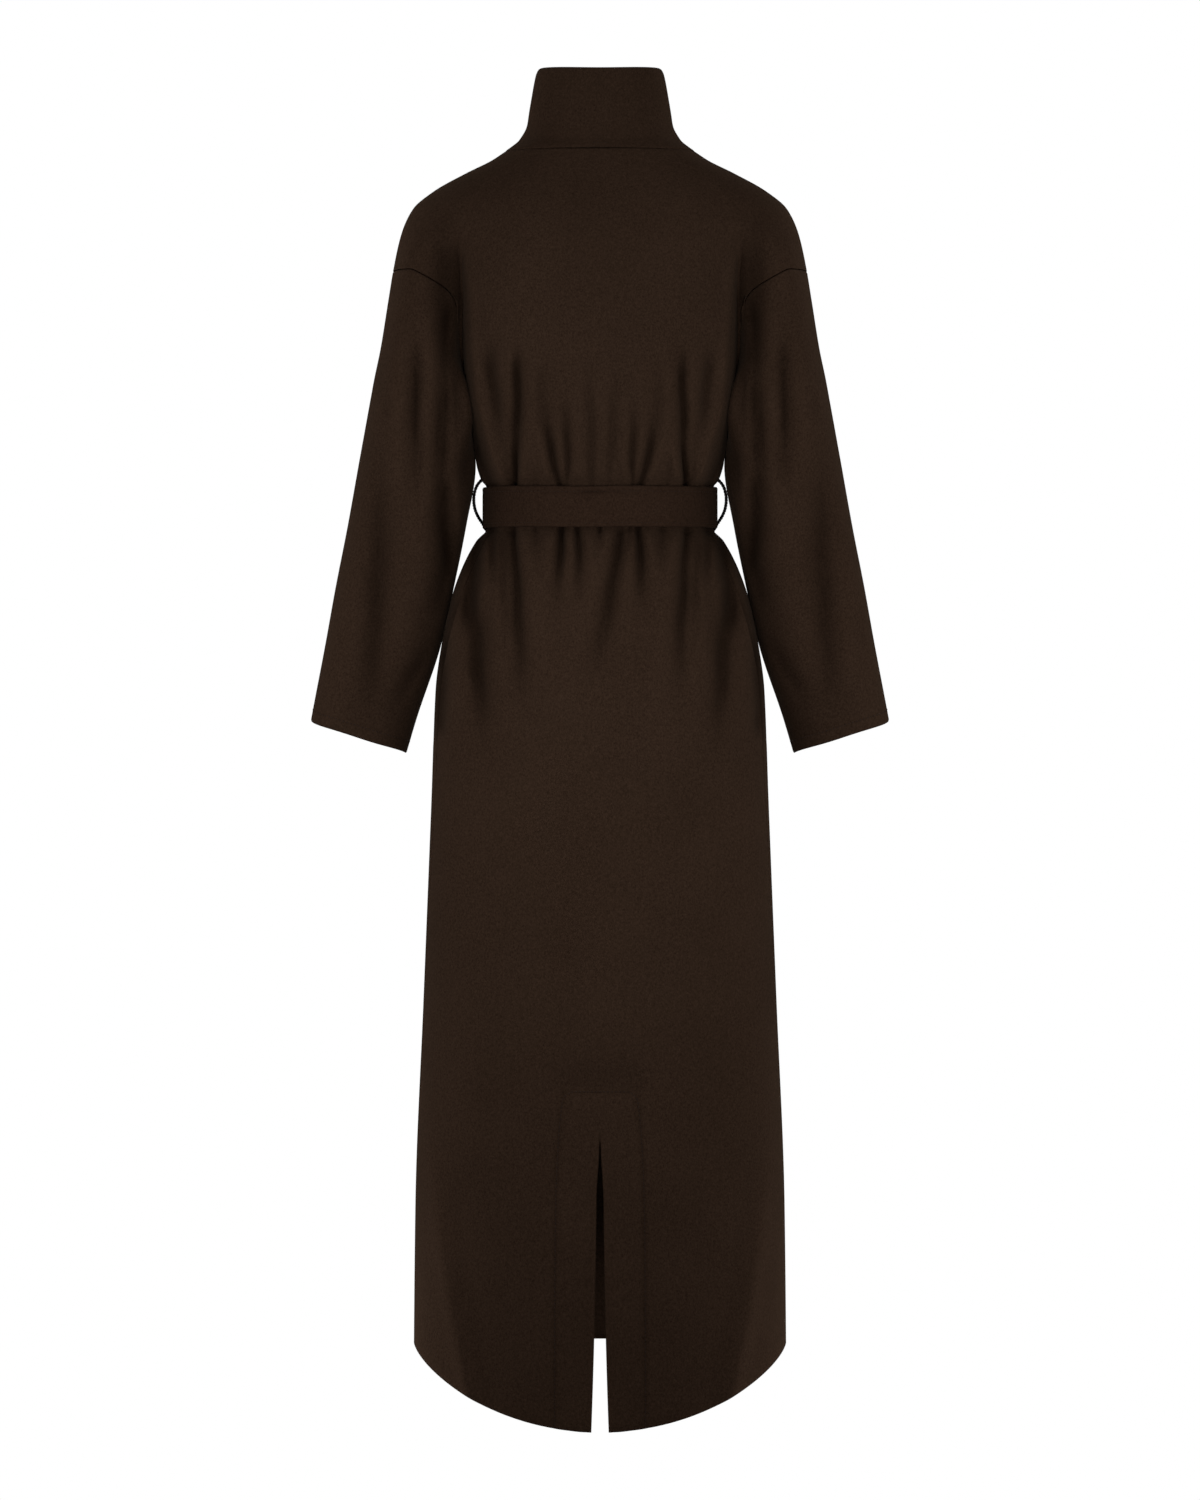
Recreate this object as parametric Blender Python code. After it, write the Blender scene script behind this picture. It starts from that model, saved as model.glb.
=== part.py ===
"""A belted wool coat, filled out as it is worn.

A one-piece back with a faced slit and a curved hem, two fronts that wrap over each other, two dropped
sleeves, a funnel collar and a belt tied at the front, held at each side by a thread loop.

Metres, +Z up. The front faces -Y and the wearer's left is +X. The origin is at the base of the neck,
level with the collar seam at the back. Every panel is a wall of cloth on one set of level sections.
"""
from collections import namedtuple
from math import pi

import bmesh
import bpy
import numpy as np

# Cloth and seams
CLOTH = 0.0022
BELT_CLOTH = 0.0032
FACING_CLOTH = 0.0015
SEAM_GAP = 0.0003
LAYER_GAP = 0.0013
NUDGE = 0.0006

# Heights
COLLAR_TOP = 0.082
NECK_BACK = 0.0
NECK_FRONT_DROP = 0.024
SHOULDER_SEAM_OUTER = -0.119
UNDERARM = -0.232
BELT_TOP = -0.343
BELT_BOTTOM = -0.3845
KNEE = -0.860
FACING_TOP = -0.960
FACING_ROW = -0.985
SLIT_TOP = -1.003
HEM_SIDE = -1.215
HEM_BACK_DROP = 0.078
HEM_FRONT_DROP = 0.006

# Where the arm fold parts the torso from the shoulder
SPLIT_START = -0.072
SPLIT_FULL = -0.125
FOLD_NOTCH = 0.03
ARMHOLE_TURN = 0.40
ARMHOLE_RISE = 0.034
ARMHOLE_DIP = 0.079
ARMHOLE_CLEAR = 14.0

# Slit, facing and front wrap
SLIT_START_GAP = 0.0012
SLIT_GAP_UPPER = 0.0055
SLIT_GAP_LOWER = 0.011
SLIT_SPREAD = 0.030
FACING_HALF_WIDTH = 0.045
WRAP_NECK = 0.032
WRAP_WAIST = 0.060
WRAP_HEM = 0.085
WRAP_EASE = 0.30
NECK_LIFT = 0.35
WRAP_CLEAR = 0.45
WRAP_STEPS = (-1.0, -0.5, 0.0, 0.5, 1.0)

# Sleeves
CUFF_OUTER = -0.5795
CUFF_INNER = -0.6130
CUFF_BULGE = 0.0015

# Collar
COLLAR_FLARE_HEIGHT = 0.030

# Belt, knot, ends and loops
BELT_CLEAR = 0.0012
KNOT_HALF_WIDTH = 0.025
KNOT_HALF_HEIGHT = 0.025
KNOT_DEPTH = 0.024
KNOT_OFFSET = 0.012
KNOT_CLEAR = 0.0030
END_HALF_WIDTH = 0.0205
END_CLEAR = 0.0022
LOOP_RADIUS = 0.0013

# Level sections of the torso and skirt: half-width at the side, depth behind and in front, squareness
Section = namedtuple("Section", "level half_width back_depth front_depth squareness")
SECTIONS = (
    Section(-1.300, 0.1905, 0.150, 0.142, 2.25),
    Section(-1.070, 0.1882, 0.147, 0.138, 2.30),
    Section(-0.865, 0.1800, 0.140, 0.131, 2.35),
    Section(-0.661, 0.1719, 0.131, 0.122, 2.40),
    Section(-0.549, 0.1678, 0.126, 0.117, 2.40),
    Section(-0.503, 0.1617, 0.122, 0.114, 2.40),
    Section(-0.457, 0.1520, 0.115, 0.110, 2.40),
    Section(-0.426, 0.1413, 0.107, 0.106, 2.35),
    Section(-0.396, 0.1255, 0.095, 0.100, 2.30),
    Section(-0.385, 0.1155, 0.087, 0.095, 2.30),
    Section(-0.3425, 0.1155, 0.087, 0.095, 2.30),
    Section(-0.335, 0.1190, 0.092, 0.100, 2.40),
    Section(-0.318, 0.1262, 0.0985, 0.1065, 2.50),
    Section(-0.300, 0.1285, 0.1015, 0.1095, 2.60),
    Section(-0.253, 0.1345, 0.109, 0.117, 2.90),
    Section(-0.202, 0.1405, 0.113, 0.120, 3.20),
    Section(-0.151, 0.1412, 0.113, 0.117, 3.30),
    Section(-0.100, 0.1460, 0.107, 0.110, 3.10),
    Section(-0.059, 0.1290, 0.094, 0.100, 2.60),
    Section(-0.022, 0.0900, 0.076, 0.087, 2.30),
    Section(0.000, 0.0640, 0.064, 0.076, 2.20),
)

# Level sections of the shoulder and sleeve: edges from behind, depth behind, arm fold depth, set forward
Arm = namedtuple("Arm", "level outer inner depth fold forward")
ARM = (
    Arm(-0.620, 0.3035, 0.2005, 0.053, 0.000, 0.0400),
    Arm(-0.576, 0.2953, 0.1873, 0.055, 0.000, 0.0340),
    Arm(-0.503, 0.2810, 0.1650, 0.060, 0.000, 0.0240),
    Arm(-0.442, 0.2698, 0.1500, 0.065, 0.000, 0.0170),
    Arm(-0.381, 0.2576, 0.1372, 0.070, 0.000, 0.0110),
    Arm(-0.319, 0.2463, 0.1290, 0.074, 0.000, 0.0060),
    Arm(-0.253, 0.2341, 0.1375, 0.078, 0.000, 0.0010),
    Arm(-0.232, 0.2302, 0.1384, 0.078, 0.000, 0.0000),
    Arm(-0.202, 0.2239, 0.1423, 0.076, 0.017, 0.0000),
    Arm(-0.151, 0.2157, 0.1369, 0.070, 0.040, 0.0000),
    Arm(-0.120, 0.2106, 0.1312, 0.069, 0.052, 0.0000),
    Arm(-0.084, 0.2025, 0.1250, 0.072, 0.062, 0.0000),
    Arm(-0.059, 0.1910, 0.1150, 0.070, 0.060, 0.0000),
    Arm(-0.041, 0.1700, 0.1050, 0.066, 0.056, 0.0000),
    Arm(-0.022, 0.1360, 0.0900, 0.060, 0.050, 0.0000),
    Arm(-0.010, 0.1117, 0.0765, 0.056, 0.046, 0.0000),
    Arm(0.000, 0.0965, 0.0680, 0.052, 0.042, 0.0000),
)
ARM_SQUARENESS = 2.25
SHOULDER_SQUARENESS = 2.35

# How far the side seam sits behind the side, as a share of a quarter turn
Seam = namedtuple("Seam", "level behind")
SIDE_SEAM = (
    Seam(-1.215, 0.02),
    Seam(-0.850, 0.10),
    Seam(-0.600, 0.16),
    Seam(-0.520, 0.18),
    Seam(-0.420, 0.24),
    Seam(-0.343, 0.18),
    Seam(UNDERARM, 0.00),
)

# Standing part of the collar
Ring = namedtuple("Ring", "level half_width back_depth front_depth")
COLLAR = (
    Ring(-0.030, 0.0800, 0.0600, 0.0730),
    Ring(0.030, 0.0738, 0.0565, 0.0680),
    Ring(0.060, 0.0688, 0.0545, 0.0650),
    Ring(0.077, 0.0652, 0.0530, 0.0625),
    Ring(0.082, 0.0636, 0.0525, 0.0615),
)

# Gathers drawn in by the belt: place and breadth at the belt edge and the far end, depth at the belt edge
Fold = namedtuple("Fold", "x_belt x_far z_belt z_far wide_belt wide_far depth")
BACK_FOLDS = (
    Fold(0.0895, 0.0840, BELT_TOP, -0.212, 0.008, 0.019, 0.0100),
    Fold(-0.0895, -0.0840, BELT_TOP, -0.212, 0.008, 0.019, 0.0095),
    Fold(0.0385, 0.0600, BELT_TOP, -0.230, 0.008, 0.017, 0.0065),
    Fold(-0.0375, -0.0590, BELT_TOP, -0.234, 0.008, 0.017, 0.0060),
    Fold(0.0913, 0.0780, BELT_BOTTOM, -0.610, 0.008, 0.022, 0.0095),
    Fold(-0.0905, -0.0795, BELT_BOTTOM, -0.600, 0.008, 0.022, 0.0090),
    Fold(0.0380, 0.0450, BELT_BOTTOM, -0.480, 0.008, 0.017, 0.0055),
    Fold(-0.0385, -0.0440, BELT_BOTTOM, -0.475, 0.008, 0.017, 0.0055),
    Fold(-0.0210, 0.0080, BELT_BOTTOM, -0.560, 0.009, 0.018, 0.0035),
    Fold(0.1130, 0.1220, -0.440, -0.640, 0.012, 0.018, 0.0060),
    Fold(-0.1130, -0.1230, -0.440, -0.640, 0.012, 0.018, 0.0060),
)
FRONT_FOLDS = (
    Fold(0.0860, 0.0800, BELT_TOP, -0.215, 0.009, 0.020, 0.0085),
    Fold(-0.0880, -0.0820, BELT_TOP, -0.205, 0.009, 0.020, 0.0085),
    Fold(0.0880, 0.0800, BELT_BOTTOM, -0.590, 0.009, 0.022, 0.0085),
    Fold(-0.0870, -0.0790, BELT_BOTTOM, -0.600, 0.009, 0.022, 0.0085),
)

# Long soft bends of the sleeve: place round the sleeve (0 inner, 1 outer, 2 inner again) at each end
SleeveFold = namedtuple("SleeveFold", "place_top place_low z_top z_low wide depth")
SLEEVE_FOLDS = (
    SleeveFold(0.20, 0.24, -0.150, -0.470, 0.075, 0.0045),
    SleeveFold(0.62, 0.50, -0.320, -0.540, 0.090, 0.0025),
    SleeveFold(1.75, 1.70, -0.190, -0.480, 0.080, 0.0045),
    SleeveFold(1.40, 1.48, -0.360, -0.540, 0.090, 0.0030),
)

# The left thread loop, from its foot above the belt forward to its foot below
Thread = namedtuple("Thread", "level x y")
LOOP = (
    Thread(-0.3335, 0.1222, 0.000),
    Thread(-0.3400, 0.1266, 0.000),
    Thread(-0.3500, 0.1288, 0.000),
    Thread(-0.3580, 0.1289, -0.002),
    Thread(-0.3660, 0.1274, -0.009),
    Thread(-0.3730, 0.1240, -0.022),
    Thread(-0.3790, 0.1195, -0.037),
    Thread(-0.3855, 0.1163, -0.047),
    Thread(-0.3920, 0.1135, -0.049),
)

SIDE_FADE = 0.060

# Mesh columns and rows
TORSO_COLUMNS = 14
ARM_STEPS = (0.0, 0.025, 0.07, 0.15, 0.26, 0.40, 0.55, 0.70, 0.85, 1.0)
SLEEVE_ROWS = 15
UPPER_ROWS = 12
HEM_STEPS = (0.0, 0.13, 0.27, 0.41, 0.54, 1.0)
BODY_LEVELS = (-0.770, -0.685, -0.620, -0.565, -0.515, -0.472, -0.440, -0.415, -0.396, -0.3845, -0.364,
               -0.343, -0.335, -0.316, -0.290, -0.260, -0.232)


def along(rows, column):
    """A smooth curve through one column of a table, by height, that stays between its rows."""
    ordered = sorted(rows, key=lambda row: row.level)
    heights = np.array([row.level for row in ordered])
    values = np.array([getattr(row, column) for row in ordered])
    steps = np.diff(heights)
    rises = np.diff(values) / steps
    slopes = np.zeros_like(values)
    product = rises[:-1] * rises[1:]
    total = rises[:-1] + rises[1:]
    slopes[1:-1] = np.where(product > 0, 2 * product / np.where(total == 0, 1, total), 0)
    slopes[0] = rises[0]
    slopes[-1] = rises[-1]

    def value(height):
        place = np.clip(np.searchsorted(heights, height) - 1, 0, len(steps) - 1)
        part = np.clip((height - heights[place]) / steps[place], 0, 1)
        start = (1 + 2 * part) * (1 - part) ** 2 * values[place]
        end = part ** 2 * (3 - 2 * part) * values[place + 1]
        lean = part * (1 - part) ** 2 * slopes[place] - part ** 2 * (1 - part) * slopes[place + 1]
        return start + end + lean * steps[place]

    return value


half_width = along(SECTIONS, "half_width")
back_depth = along(SECTIONS, "back_depth")
front_depth = along(SECTIONS, "front_depth")
squareness = along(SECTIONS, "squareness")
arm_outer = along(ARM, "outer")
arm_inner = along(ARM, "inner")
arm_depth = along(ARM, "depth")
arm_fold = along(ARM, "fold")
arm_forward = along(ARM, "forward")
seam_behind = along(SIDE_SEAM, "behind")
collar_width = along(COLLAR, "half_width")
collar_back = along(COLLAR, "back_depth")
collar_front = along(COLLAR, "front_depth")


def ease(value):
    """A soft step from 0 to 1."""
    part = np.clip(value, 0, 1)
    return part * part * (3 - 2 * part)


def oval(angle, half_x, half_y, power):
    """A point on a squared oval at a polar angle measured from +Y towards +X."""
    sine = np.sin(angle)
    cosine = np.cos(angle)
    reach = ((np.abs(sine) / half_x) ** power + (np.abs(cosine) / half_y) ** power) ** (-1 / power)
    return reach * sine, reach * cosine


def oval_edge(across, half_x, half_y, power):
    """The depth of a squared oval at a distance across it."""
    return half_y * (1 - np.clip(np.abs(across) / half_x, 0, 1) ** power) ** (1 / power)


def front_share(z):
    """How deep the shoulder and sleeve are in front for each unit of depth behind."""
    level = np.maximum(z, UNDERARM)
    return front_depth(level) / back_depth(level)


def fold_push(x, z, folds):
    """How far the gathers draw the cloth in at a place on the body."""
    push = np.zeros_like(x)
    for fold in folds:
        length = abs(fold.z_far - fold.z_belt)
        run = (z - fold.z_belt) * np.sign(fold.z_far - fold.z_belt)
        part = np.clip(run / length, 0, 1)
        under = ease(1 + np.minimum(run, 0) / (BELT_TOP - BELT_BOTTOM))
        centre = fold.x_belt + (fold.x_far - fold.x_belt) * part
        wide = fold.wide_belt + (fold.wide_far - fold.wide_belt) * part
        push = push + fold.depth * under * (1 - part) ** 1.4 * np.exp(-((x - centre) / wide) ** 2)
    return push


def gathers(x, y, z):
    """How far the gathers draw in the whole body, those behind fading into those in front at the sides."""
    behind = ease(0.5 + y / SIDE_FADE)
    return behind * fold_push(x, z, BACK_FOLDS) + (1 - behind) * fold_push(x, z, FRONT_FOLDS)


def torso_point(angle, z):
    """Plan of the torso and skirt, by angle from the centre back."""
    depth = np.where(np.cos(angle) >= 0, back_depth(z), front_depth(z))
    return oval(angle, half_width(z), depth, squareness(z))


def lobe_point(place, z, facing):
    """Plan of the shoulder and sleeve from the arm fold (0) to the outer edge (1), behind or in front."""
    middle = (arm_inner(z) + arm_outer(z)) / 2
    half = (arm_outer(z) - arm_inner(z)) / 2
    depth = arm_depth(z)
    fold = arm_fold(z)
    fold_x = middle - oval_edge(fold, depth, half, ARM_SQUARENESS)
    start = np.arctan2(fold_x - middle, fold)
    angle = start + (pi / 2 - start) * place
    x, y = oval(angle, half, depth, ARM_SQUARENESS)
    return join_shoulder(middle + x, y, z, facing)


def join_shoulder(x, y, z, facing):
    """Closes the arm fold towards the top of the shoulder and turns the plan to the back or the front."""
    split = ease((SPLIT_START - z) / (SPLIT_START - SPLIT_FULL))
    whole = oval_edge(x, arm_outer(z), back_depth(z), SHOULDER_SQUARENESS)
    depth = split * y + (1 - split) * whole
    share = np.where(facing > 0, 1, front_share(z))
    return x, facing * share * depth - arm_forward(z)


def fold_notch(z):
    """Half the breadth of the bottom of the arm fold, as a place on the section."""
    return FOLD_NOTCH * ease((z - UNDERARM) / 0.03)


def upper_point(place, z, facing):
    """Plan above the underarm: 0 at the centre, 1 in the arm fold, 2 on the shoulder ridge."""
    notch = fold_notch(z)
    depth = back_depth(z)
    fold = arm_fold(z)
    fold_x = oval_edge(fold, depth, half_width(z), squareness(z))
    fold_angle = np.arctan2(fold_x, fold)
    x, y = oval(fold_angle * np.clip(place / (1 - notch), 0, 1), half_width(z), depth, squareness(z))
    x, y = join_shoulder(x, y, z, facing)
    lobe_x, lobe_y = lobe_point(np.clip((place - 1 - notch) / (1 - notch), 0, 1), z, facing)
    mix = np.clip((place - 1 + notch) / np.maximum(2 * notch, 1e-9), 0, 1)
    return x + (lobe_x - x) * mix, y + (lobe_y - y) * mix


def slit_gap(z):
    """How far the slit stands open at a height."""
    part = np.clip((SLIT_TOP - z) / (SLIT_TOP - HEM_SIDE + HEM_BACK_DROP), 0, 1)
    return SLIT_GAP_UPPER * ease(part / 0.2) + SLIT_GAP_LOWER * part ** 2


def pressed(x, y, z, push):
    """Moves a plan point inwards across the oval section."""
    along_x = x / half_width(z) ** 2
    along_y = y / back_depth(z) ** 2
    size = np.maximum(np.hypot(along_x, along_y), 1e-9)
    return x - push * along_x / size, y - push * along_y / size


def back_point(place, z):
    """A point on the outside of the back: place 0 at the centre, 1 at the side, 2 on the shoulder ridge."""
    hand = np.where(place < 0, -1.0, 1.0)
    reach = np.abs(place)
    low_x, low_y = torso_point(reach * pi / 2 * (1 - seam_behind(z)), z)
    high_x, high_y = upper_point(reach, z, 1.0)
    x = hand * np.where(z > UNDERARM, high_x, low_x)
    y = np.where(z > UNDERARM, high_y, low_y)
    x, y = pressed(x, y, z, gathers(x, y, z))
    x = x + hand * slit_gap(z) / 2 * np.clip(1 - np.abs(x) / SLIT_SPREAD, 0, 1)
    return np.stack((x, y + SEAM_GAP / 2, z), axis=-1)


def wrap_place(z):
    """How far a front reaches past the centre front, as a place on the section."""
    reach = np.interp(z, (HEM_SIDE, BELT_TOP, NECK_BACK), (WRAP_HEM, WRAP_WAIST, WRAP_NECK))
    return np.arctan2(reach, front_depth(z)) / (pi / 2)


def over_lift(z):
    """How far the upper front stands off the lower one, more where the neck slopes."""
    return (CLOTH + LAYER_GAP) * (1 + NECK_LIFT * ease((z - SPLIT_FULL) / (SPLIT_START - SPLIT_FULL)))


def front_point(place, z, hand, over):
    """A point on the outside of a front: place 0 at the centre front, 1 at the side, 2 on the ridge."""
    sign = np.where(place < 0, -1.0, 1.0)
    reach = np.abs(place)
    turn = reach * pi / 2 * (1 + seam_behind(z) * ease((reach - WRAP_CLEAR) / (1 - WRAP_CLEAR)))
    low_x, low_y = torso_point(pi - turn, z)
    high_x, high_y = upper_point(reach, z, -1.0)
    x = hand * sign * np.where(z > UNDERARM, high_x, low_x)
    y = np.where(z > UNDERARM, high_y, low_y)
    lift = over * over_lift(z) * ease((wrap_place(z) + WRAP_EASE - place) / (WRAP_EASE * 0.8))
    x, y = pressed(x, y, z, gathers(x, y, z) - lift)
    return np.stack((x, y - SEAM_GAP / 2, z), axis=-1)


def sleeve_point(place, z, hand):
    """A point on the outside of a sleeve: place 0 at the inner seam, 1 at the outer edge, 2 at the seam."""
    facing = np.where(place <= 1, 1.0, -1.0)
    x, y = lobe_point(np.where(place <= 1, place, 2 - place), z, facing)
    push = np.zeros_like(x)
    for fold in SLEEVE_FOLDS:
        part = np.clip((fold.z_top - z) / (fold.z_top - fold.z_low), 0, 1)
        centre = fold.place_top + (fold.place_low - fold.place_top) * part
        push = push + fold.depth * np.sin(pi * part) ** 2 * np.exp(-((place - centre) / fold.wide) ** 2)
    middle = (arm_inner(z) + arm_outer(z)) / 2
    away_x = x - middle
    away_y = y + arm_forward(z)
    size = np.maximum(np.hypot(away_x, away_y), 1e-9)
    return np.stack((hand * (x - push * away_x / size), y - push * away_y / size, z), axis=-1)


def armhole_level(place):
    """Height of the armhole seam from the underarm (0) to the outer edge of the shoulder (1)."""
    turned = np.clip(1 - place / ARMHOLE_TURN, 0, 1)
    return SHOULDER_SEAM_OUTER - ARMHOLE_RISE * turned ** 1.2 - ARMHOLE_DIP * (1 - place) ** 30


def armhole_gap(place):
    """How far the two edges of the armhole seam stand apart in height, more where the seam is steep."""
    return SEAM_GAP * (1 + ARMHOLE_CLEAR * (1 - place) ** 30)


def armhole_start(reach):
    """Height of a body panel's armhole edge by place past the arm fold, just above the sleeve's."""
    low = np.full_like(reach, UNDERARM)
    high = np.full_like(reach, SHOULDER_SEAM_OUTER)
    for _ in range(30):
        middle = (low + high) / 2
        notch = fold_notch(middle)
        place = np.clip((reach - 1 - notch) / (1 - notch), 0, 1)
        above = armhole_level(place) + armhole_gap(place) / 2 > middle
        low = np.where(above, middle, low)
        high = np.where(above, high, middle)
    return (low + high) / 2


def neck_level(place, facing):
    """Height of the collar seam by place on the section."""
    if facing > 0:
        return NECK_BACK + 0 * place
    level = np.full_like(place, NECK_BACK)
    across = upper_point(np.abs(place), level, 1.0)[0] / arm_outer(level)
    return level - NECK_FRONT_DROP * np.cos(pi / 2 * np.clip(across, 0, 1)) ** 2


def collar_point(place, part):
    """A point on the outside of the collar: place 0 at the centre back, 2 at the centre front."""
    hand = np.where(place < 0, -1.0, 1.0)
    reach = np.abs(place)
    behind = reach <= 1
    across = np.where(behind, reach * 2, (2 - reach) * 2)
    sign = np.where(across < 0, -1.0, 1.0)
    base = np.where(behind, neck_level(across, 1.0), neck_level(across, -1.0))
    back_x, back_y = upper_point(np.abs(across), base, 1.0)
    front_x, front_y = upper_point(np.abs(across), base, -1.0)
    base_x = sign * np.where(behind, back_x, front_x)
    base_y = np.where(behind, back_y, front_y)
    z = base + SEAM_GAP + (COLLAR_TOP - base - SEAM_GAP) * part
    angle = np.where(behind, reach * pi / 2, pi - (2 - reach) * pi / 2)
    depth = np.where(behind, collar_back(z), collar_front(z))
    foot_depth = np.where(behind, collar_back(base), collar_front(base))
    x, y = oval(angle, collar_width(z), depth, 2.1)
    foot_x, foot_y = oval(angle, collar_width(base), foot_depth, 2.1)
    flare = np.clip(1 - (z - base) / COLLAR_FLARE_HEIGHT, 0, 1) ** 2
    x = x + (base_x - foot_x) * flare
    y = y + (base_y - foot_y) * flare
    reach_over = wrap_place(base) + WRAP_EASE - across
    lift = np.where(hand < 0, over_lift(base), 0) * ease(reach_over / (WRAP_EASE * 0.8)) * (1 - behind)
    size = np.maximum(np.hypot(x, y), 1e-9)
    return np.stack((hand * (x + lift * x / size), y + lift * y / size, z), axis=-1)


def outward(point, columns, levels, flip):
    """Unit directions out of the cloth, from small moves along the surface."""
    step = 0.004
    rise = 0.002
    across = point(columns + step, levels) - point(columns - step, levels)
    up = point(columns, levels + rise) - point(columns, levels - rise)
    normal = np.cross(across, up) * flip
    return normal / np.maximum(np.linalg.norm(normal, axis=-1, keepdims=True), 1e-12)


def cloth_material(name, colour, roughness):
    """A plain Principled cloth."""
    material = bpy.data.materials.new(name)
    material.use_nodes = True
    shader = material.node_tree.nodes["Principled BSDF"]
    shader.inputs["Base Color"].default_value = (*colour, 1.0)
    shader.inputs["Roughness"].default_value = roughness
    material.diffuse_color = (*colour, 1.0)
    return material


def add_part(name, bm, collection, material):
    """Turns a finished mesh into a named part."""
    bmesh.ops.triangulate(bm, faces=bm.faces[:], quad_method="SHORT_EDGE")
    bmesh.ops.recalc_face_normals(bm, faces=bm.faces[:])
    if bm.calc_volume(signed=True) < 0:
        bmesh.ops.reverse_faces(bm, faces=bm.faces[:])
    mesh = bpy.data.meshes.new(name)
    bm.to_mesh(mesh)
    bm.free()
    mesh.materials.append(material)
    part = bpy.data.objects.new(name, mesh)
    collection.objects.link(part)
    return part


def cloth_wall(outer, inner, keep=None, closed=False):
    """A closed wall of cloth between two sets of points laid out in rows and columns."""
    rows, columns = outer.shape[:2]
    bm = bmesh.new()
    bmesh.ops.create_grid(bm, x_segments=columns - 1, y_segments=rows - 1, size=1.0)
    tag = bm.verts.layers.int.new("place")
    for vert in bm.verts:
        column = round((vert.co.x + 1) / 2 * (columns - 1))
        row = round((vert.co.y + 1) / 2 * (rows - 1))
        vert[tag] = row * columns + column
    if keep is not None:
        dropped = []
        for face in bm.faces:
            corner = min(vert[tag] for vert in face.verts)
            if not keep[corner // columns, corner % columns]:
                dropped.append(face)
        bmesh.ops.delete(bm, geom=dropped, context="FACES")
    outer_flat = outer.reshape(-1, 3)
    inner_flat = inner.reshape(-1, 3)
    made = bmesh.ops.extrude_face_region(bm, geom=bm.faces[:] + bm.edges[:], use_keep_orig=True)
    inside = {item for item in made["geom"] if isinstance(item, bmesh.types.BMVert)}
    for vert in bm.verts:
        vert.co = inner_flat[vert[tag]] if vert in inside else outer_flat[vert[tag]]
    if closed:
        last = columns - 1
        ends = [face for face in bm.faces if {vert[tag] % columns for vert in face.verts} <= {0, last}]
        ends = [face for face in ends if len({vert in inside for vert in face.verts}) == 2]
        bmesh.ops.delete(bm, geom=ends, context="FACES_ONLY")
        bmesh.ops.remove_doubles(bm, verts=bm.verts[:], dist=0.00002)
    return bm


def panel_grid(columns, hem, neck):
    """Places and heights of a body panel, rows from hem to neck, with the faces below the armhole marked."""
    reach = np.abs(columns)
    low = np.array([hem + (KNEE - hem) * step for step in HEM_STEPS])
    middle = np.array([np.full_like(columns, level) for level in BODY_LEVELS])
    start = np.where(reach > 1, armhole_start(reach), UNDERARM)
    high = np.array([start + (neck - start) * (row + 1) / UPPER_ROWS for row in range(UPPER_ROWS)])
    middle[-1] = start
    levels = np.concatenate((low, middle, high))
    places = np.broadcast_to(columns, levels.shape).copy()
    keep = np.ones((levels.shape[0] - 1, levels.shape[1] - 1), dtype=bool)
    outside = np.maximum(reach[:-1], reach[1:]) > 1.0001
    keep[:len(low) + len(middle) - 1, outside] = False
    return places, levels, keep


def wall_points(point, places, levels, flip, wall, at_ridge=False):
    """Outer and inner points of a wall, the ridge of the shoulder kept square to the seam."""
    normals = outward(point, np.clip(places, -1.999, 1.999), levels, flip)
    if at_ridge:
        ridge = np.abs(np.abs(places) - 2) < 1e-6
        normals[ridge, 1] = 0
        underarm = (np.abs(np.abs(places) - 1) < 1e-6) & (levels <= UNDERARM + 1e-6)
        normals[underarm] = normals[underarm] * (1, 0, 1)
        normals = normals / np.linalg.norm(normals, axis=-1, keepdims=True)
    outer = point(places, levels)
    return outer, outer - normals * wall


def body_columns():
    """Places from the side or the centre to the shoulder ridge, on one half of the body."""
    torso = np.linspace(0, 1 - FOLD_NOTCH, TORSO_COLUMNS)[1:]
    lobe = 1 + FOLD_NOTCH + (1 - FOLD_NOTCH) * np.array(ARM_STEPS)
    return np.concatenate((torso, (1.0,), lobe))


def back_columns():
    """Places across the back with a narrow strip at the centre where the slit opens."""
    half = body_columns()
    edge = SLIT_START_GAP / 2 / 0.15 / (pi / 2)
    return np.concatenate((-half[::-1], (-edge, edge), half))


def hem_back(columns):
    """Height of the curved back hem by place."""
    level = np.full_like(columns, HEM_SIDE)
    x = torso_point(np.clip(np.abs(columns), 0, 1) * pi / 2, level)[0]
    share = np.clip(x / half_width(np.array(HEM_SIDE)), 0, 1)
    return HEM_SIDE - HEM_BACK_DROP * (1 - share ** 2) ** 0.75


def build_back(collection, cloth):
    """The one-piece back with its slit and curved hem."""
    columns = back_columns()
    places, levels, keep = panel_grid(columns, hem_back(columns), NECK_BACK - SEAM_GAP / 2 + 0 * columns)
    centre = len(columns) // 2 - 1
    slit_row = len(HEM_STEPS) - 1
    levels[slit_row - 1] = levels[slit_row - 1] + (SLIT_TOP - levels[slit_row - 1, centre])
    keep[:slit_row - 1, centre] = False
    outer, inner = wall_points(back_point, places, levels, -1, CLOTH, at_ridge=True)
    return add_part("back", cloth_wall(outer, inner, keep), collection, cloth)


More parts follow.
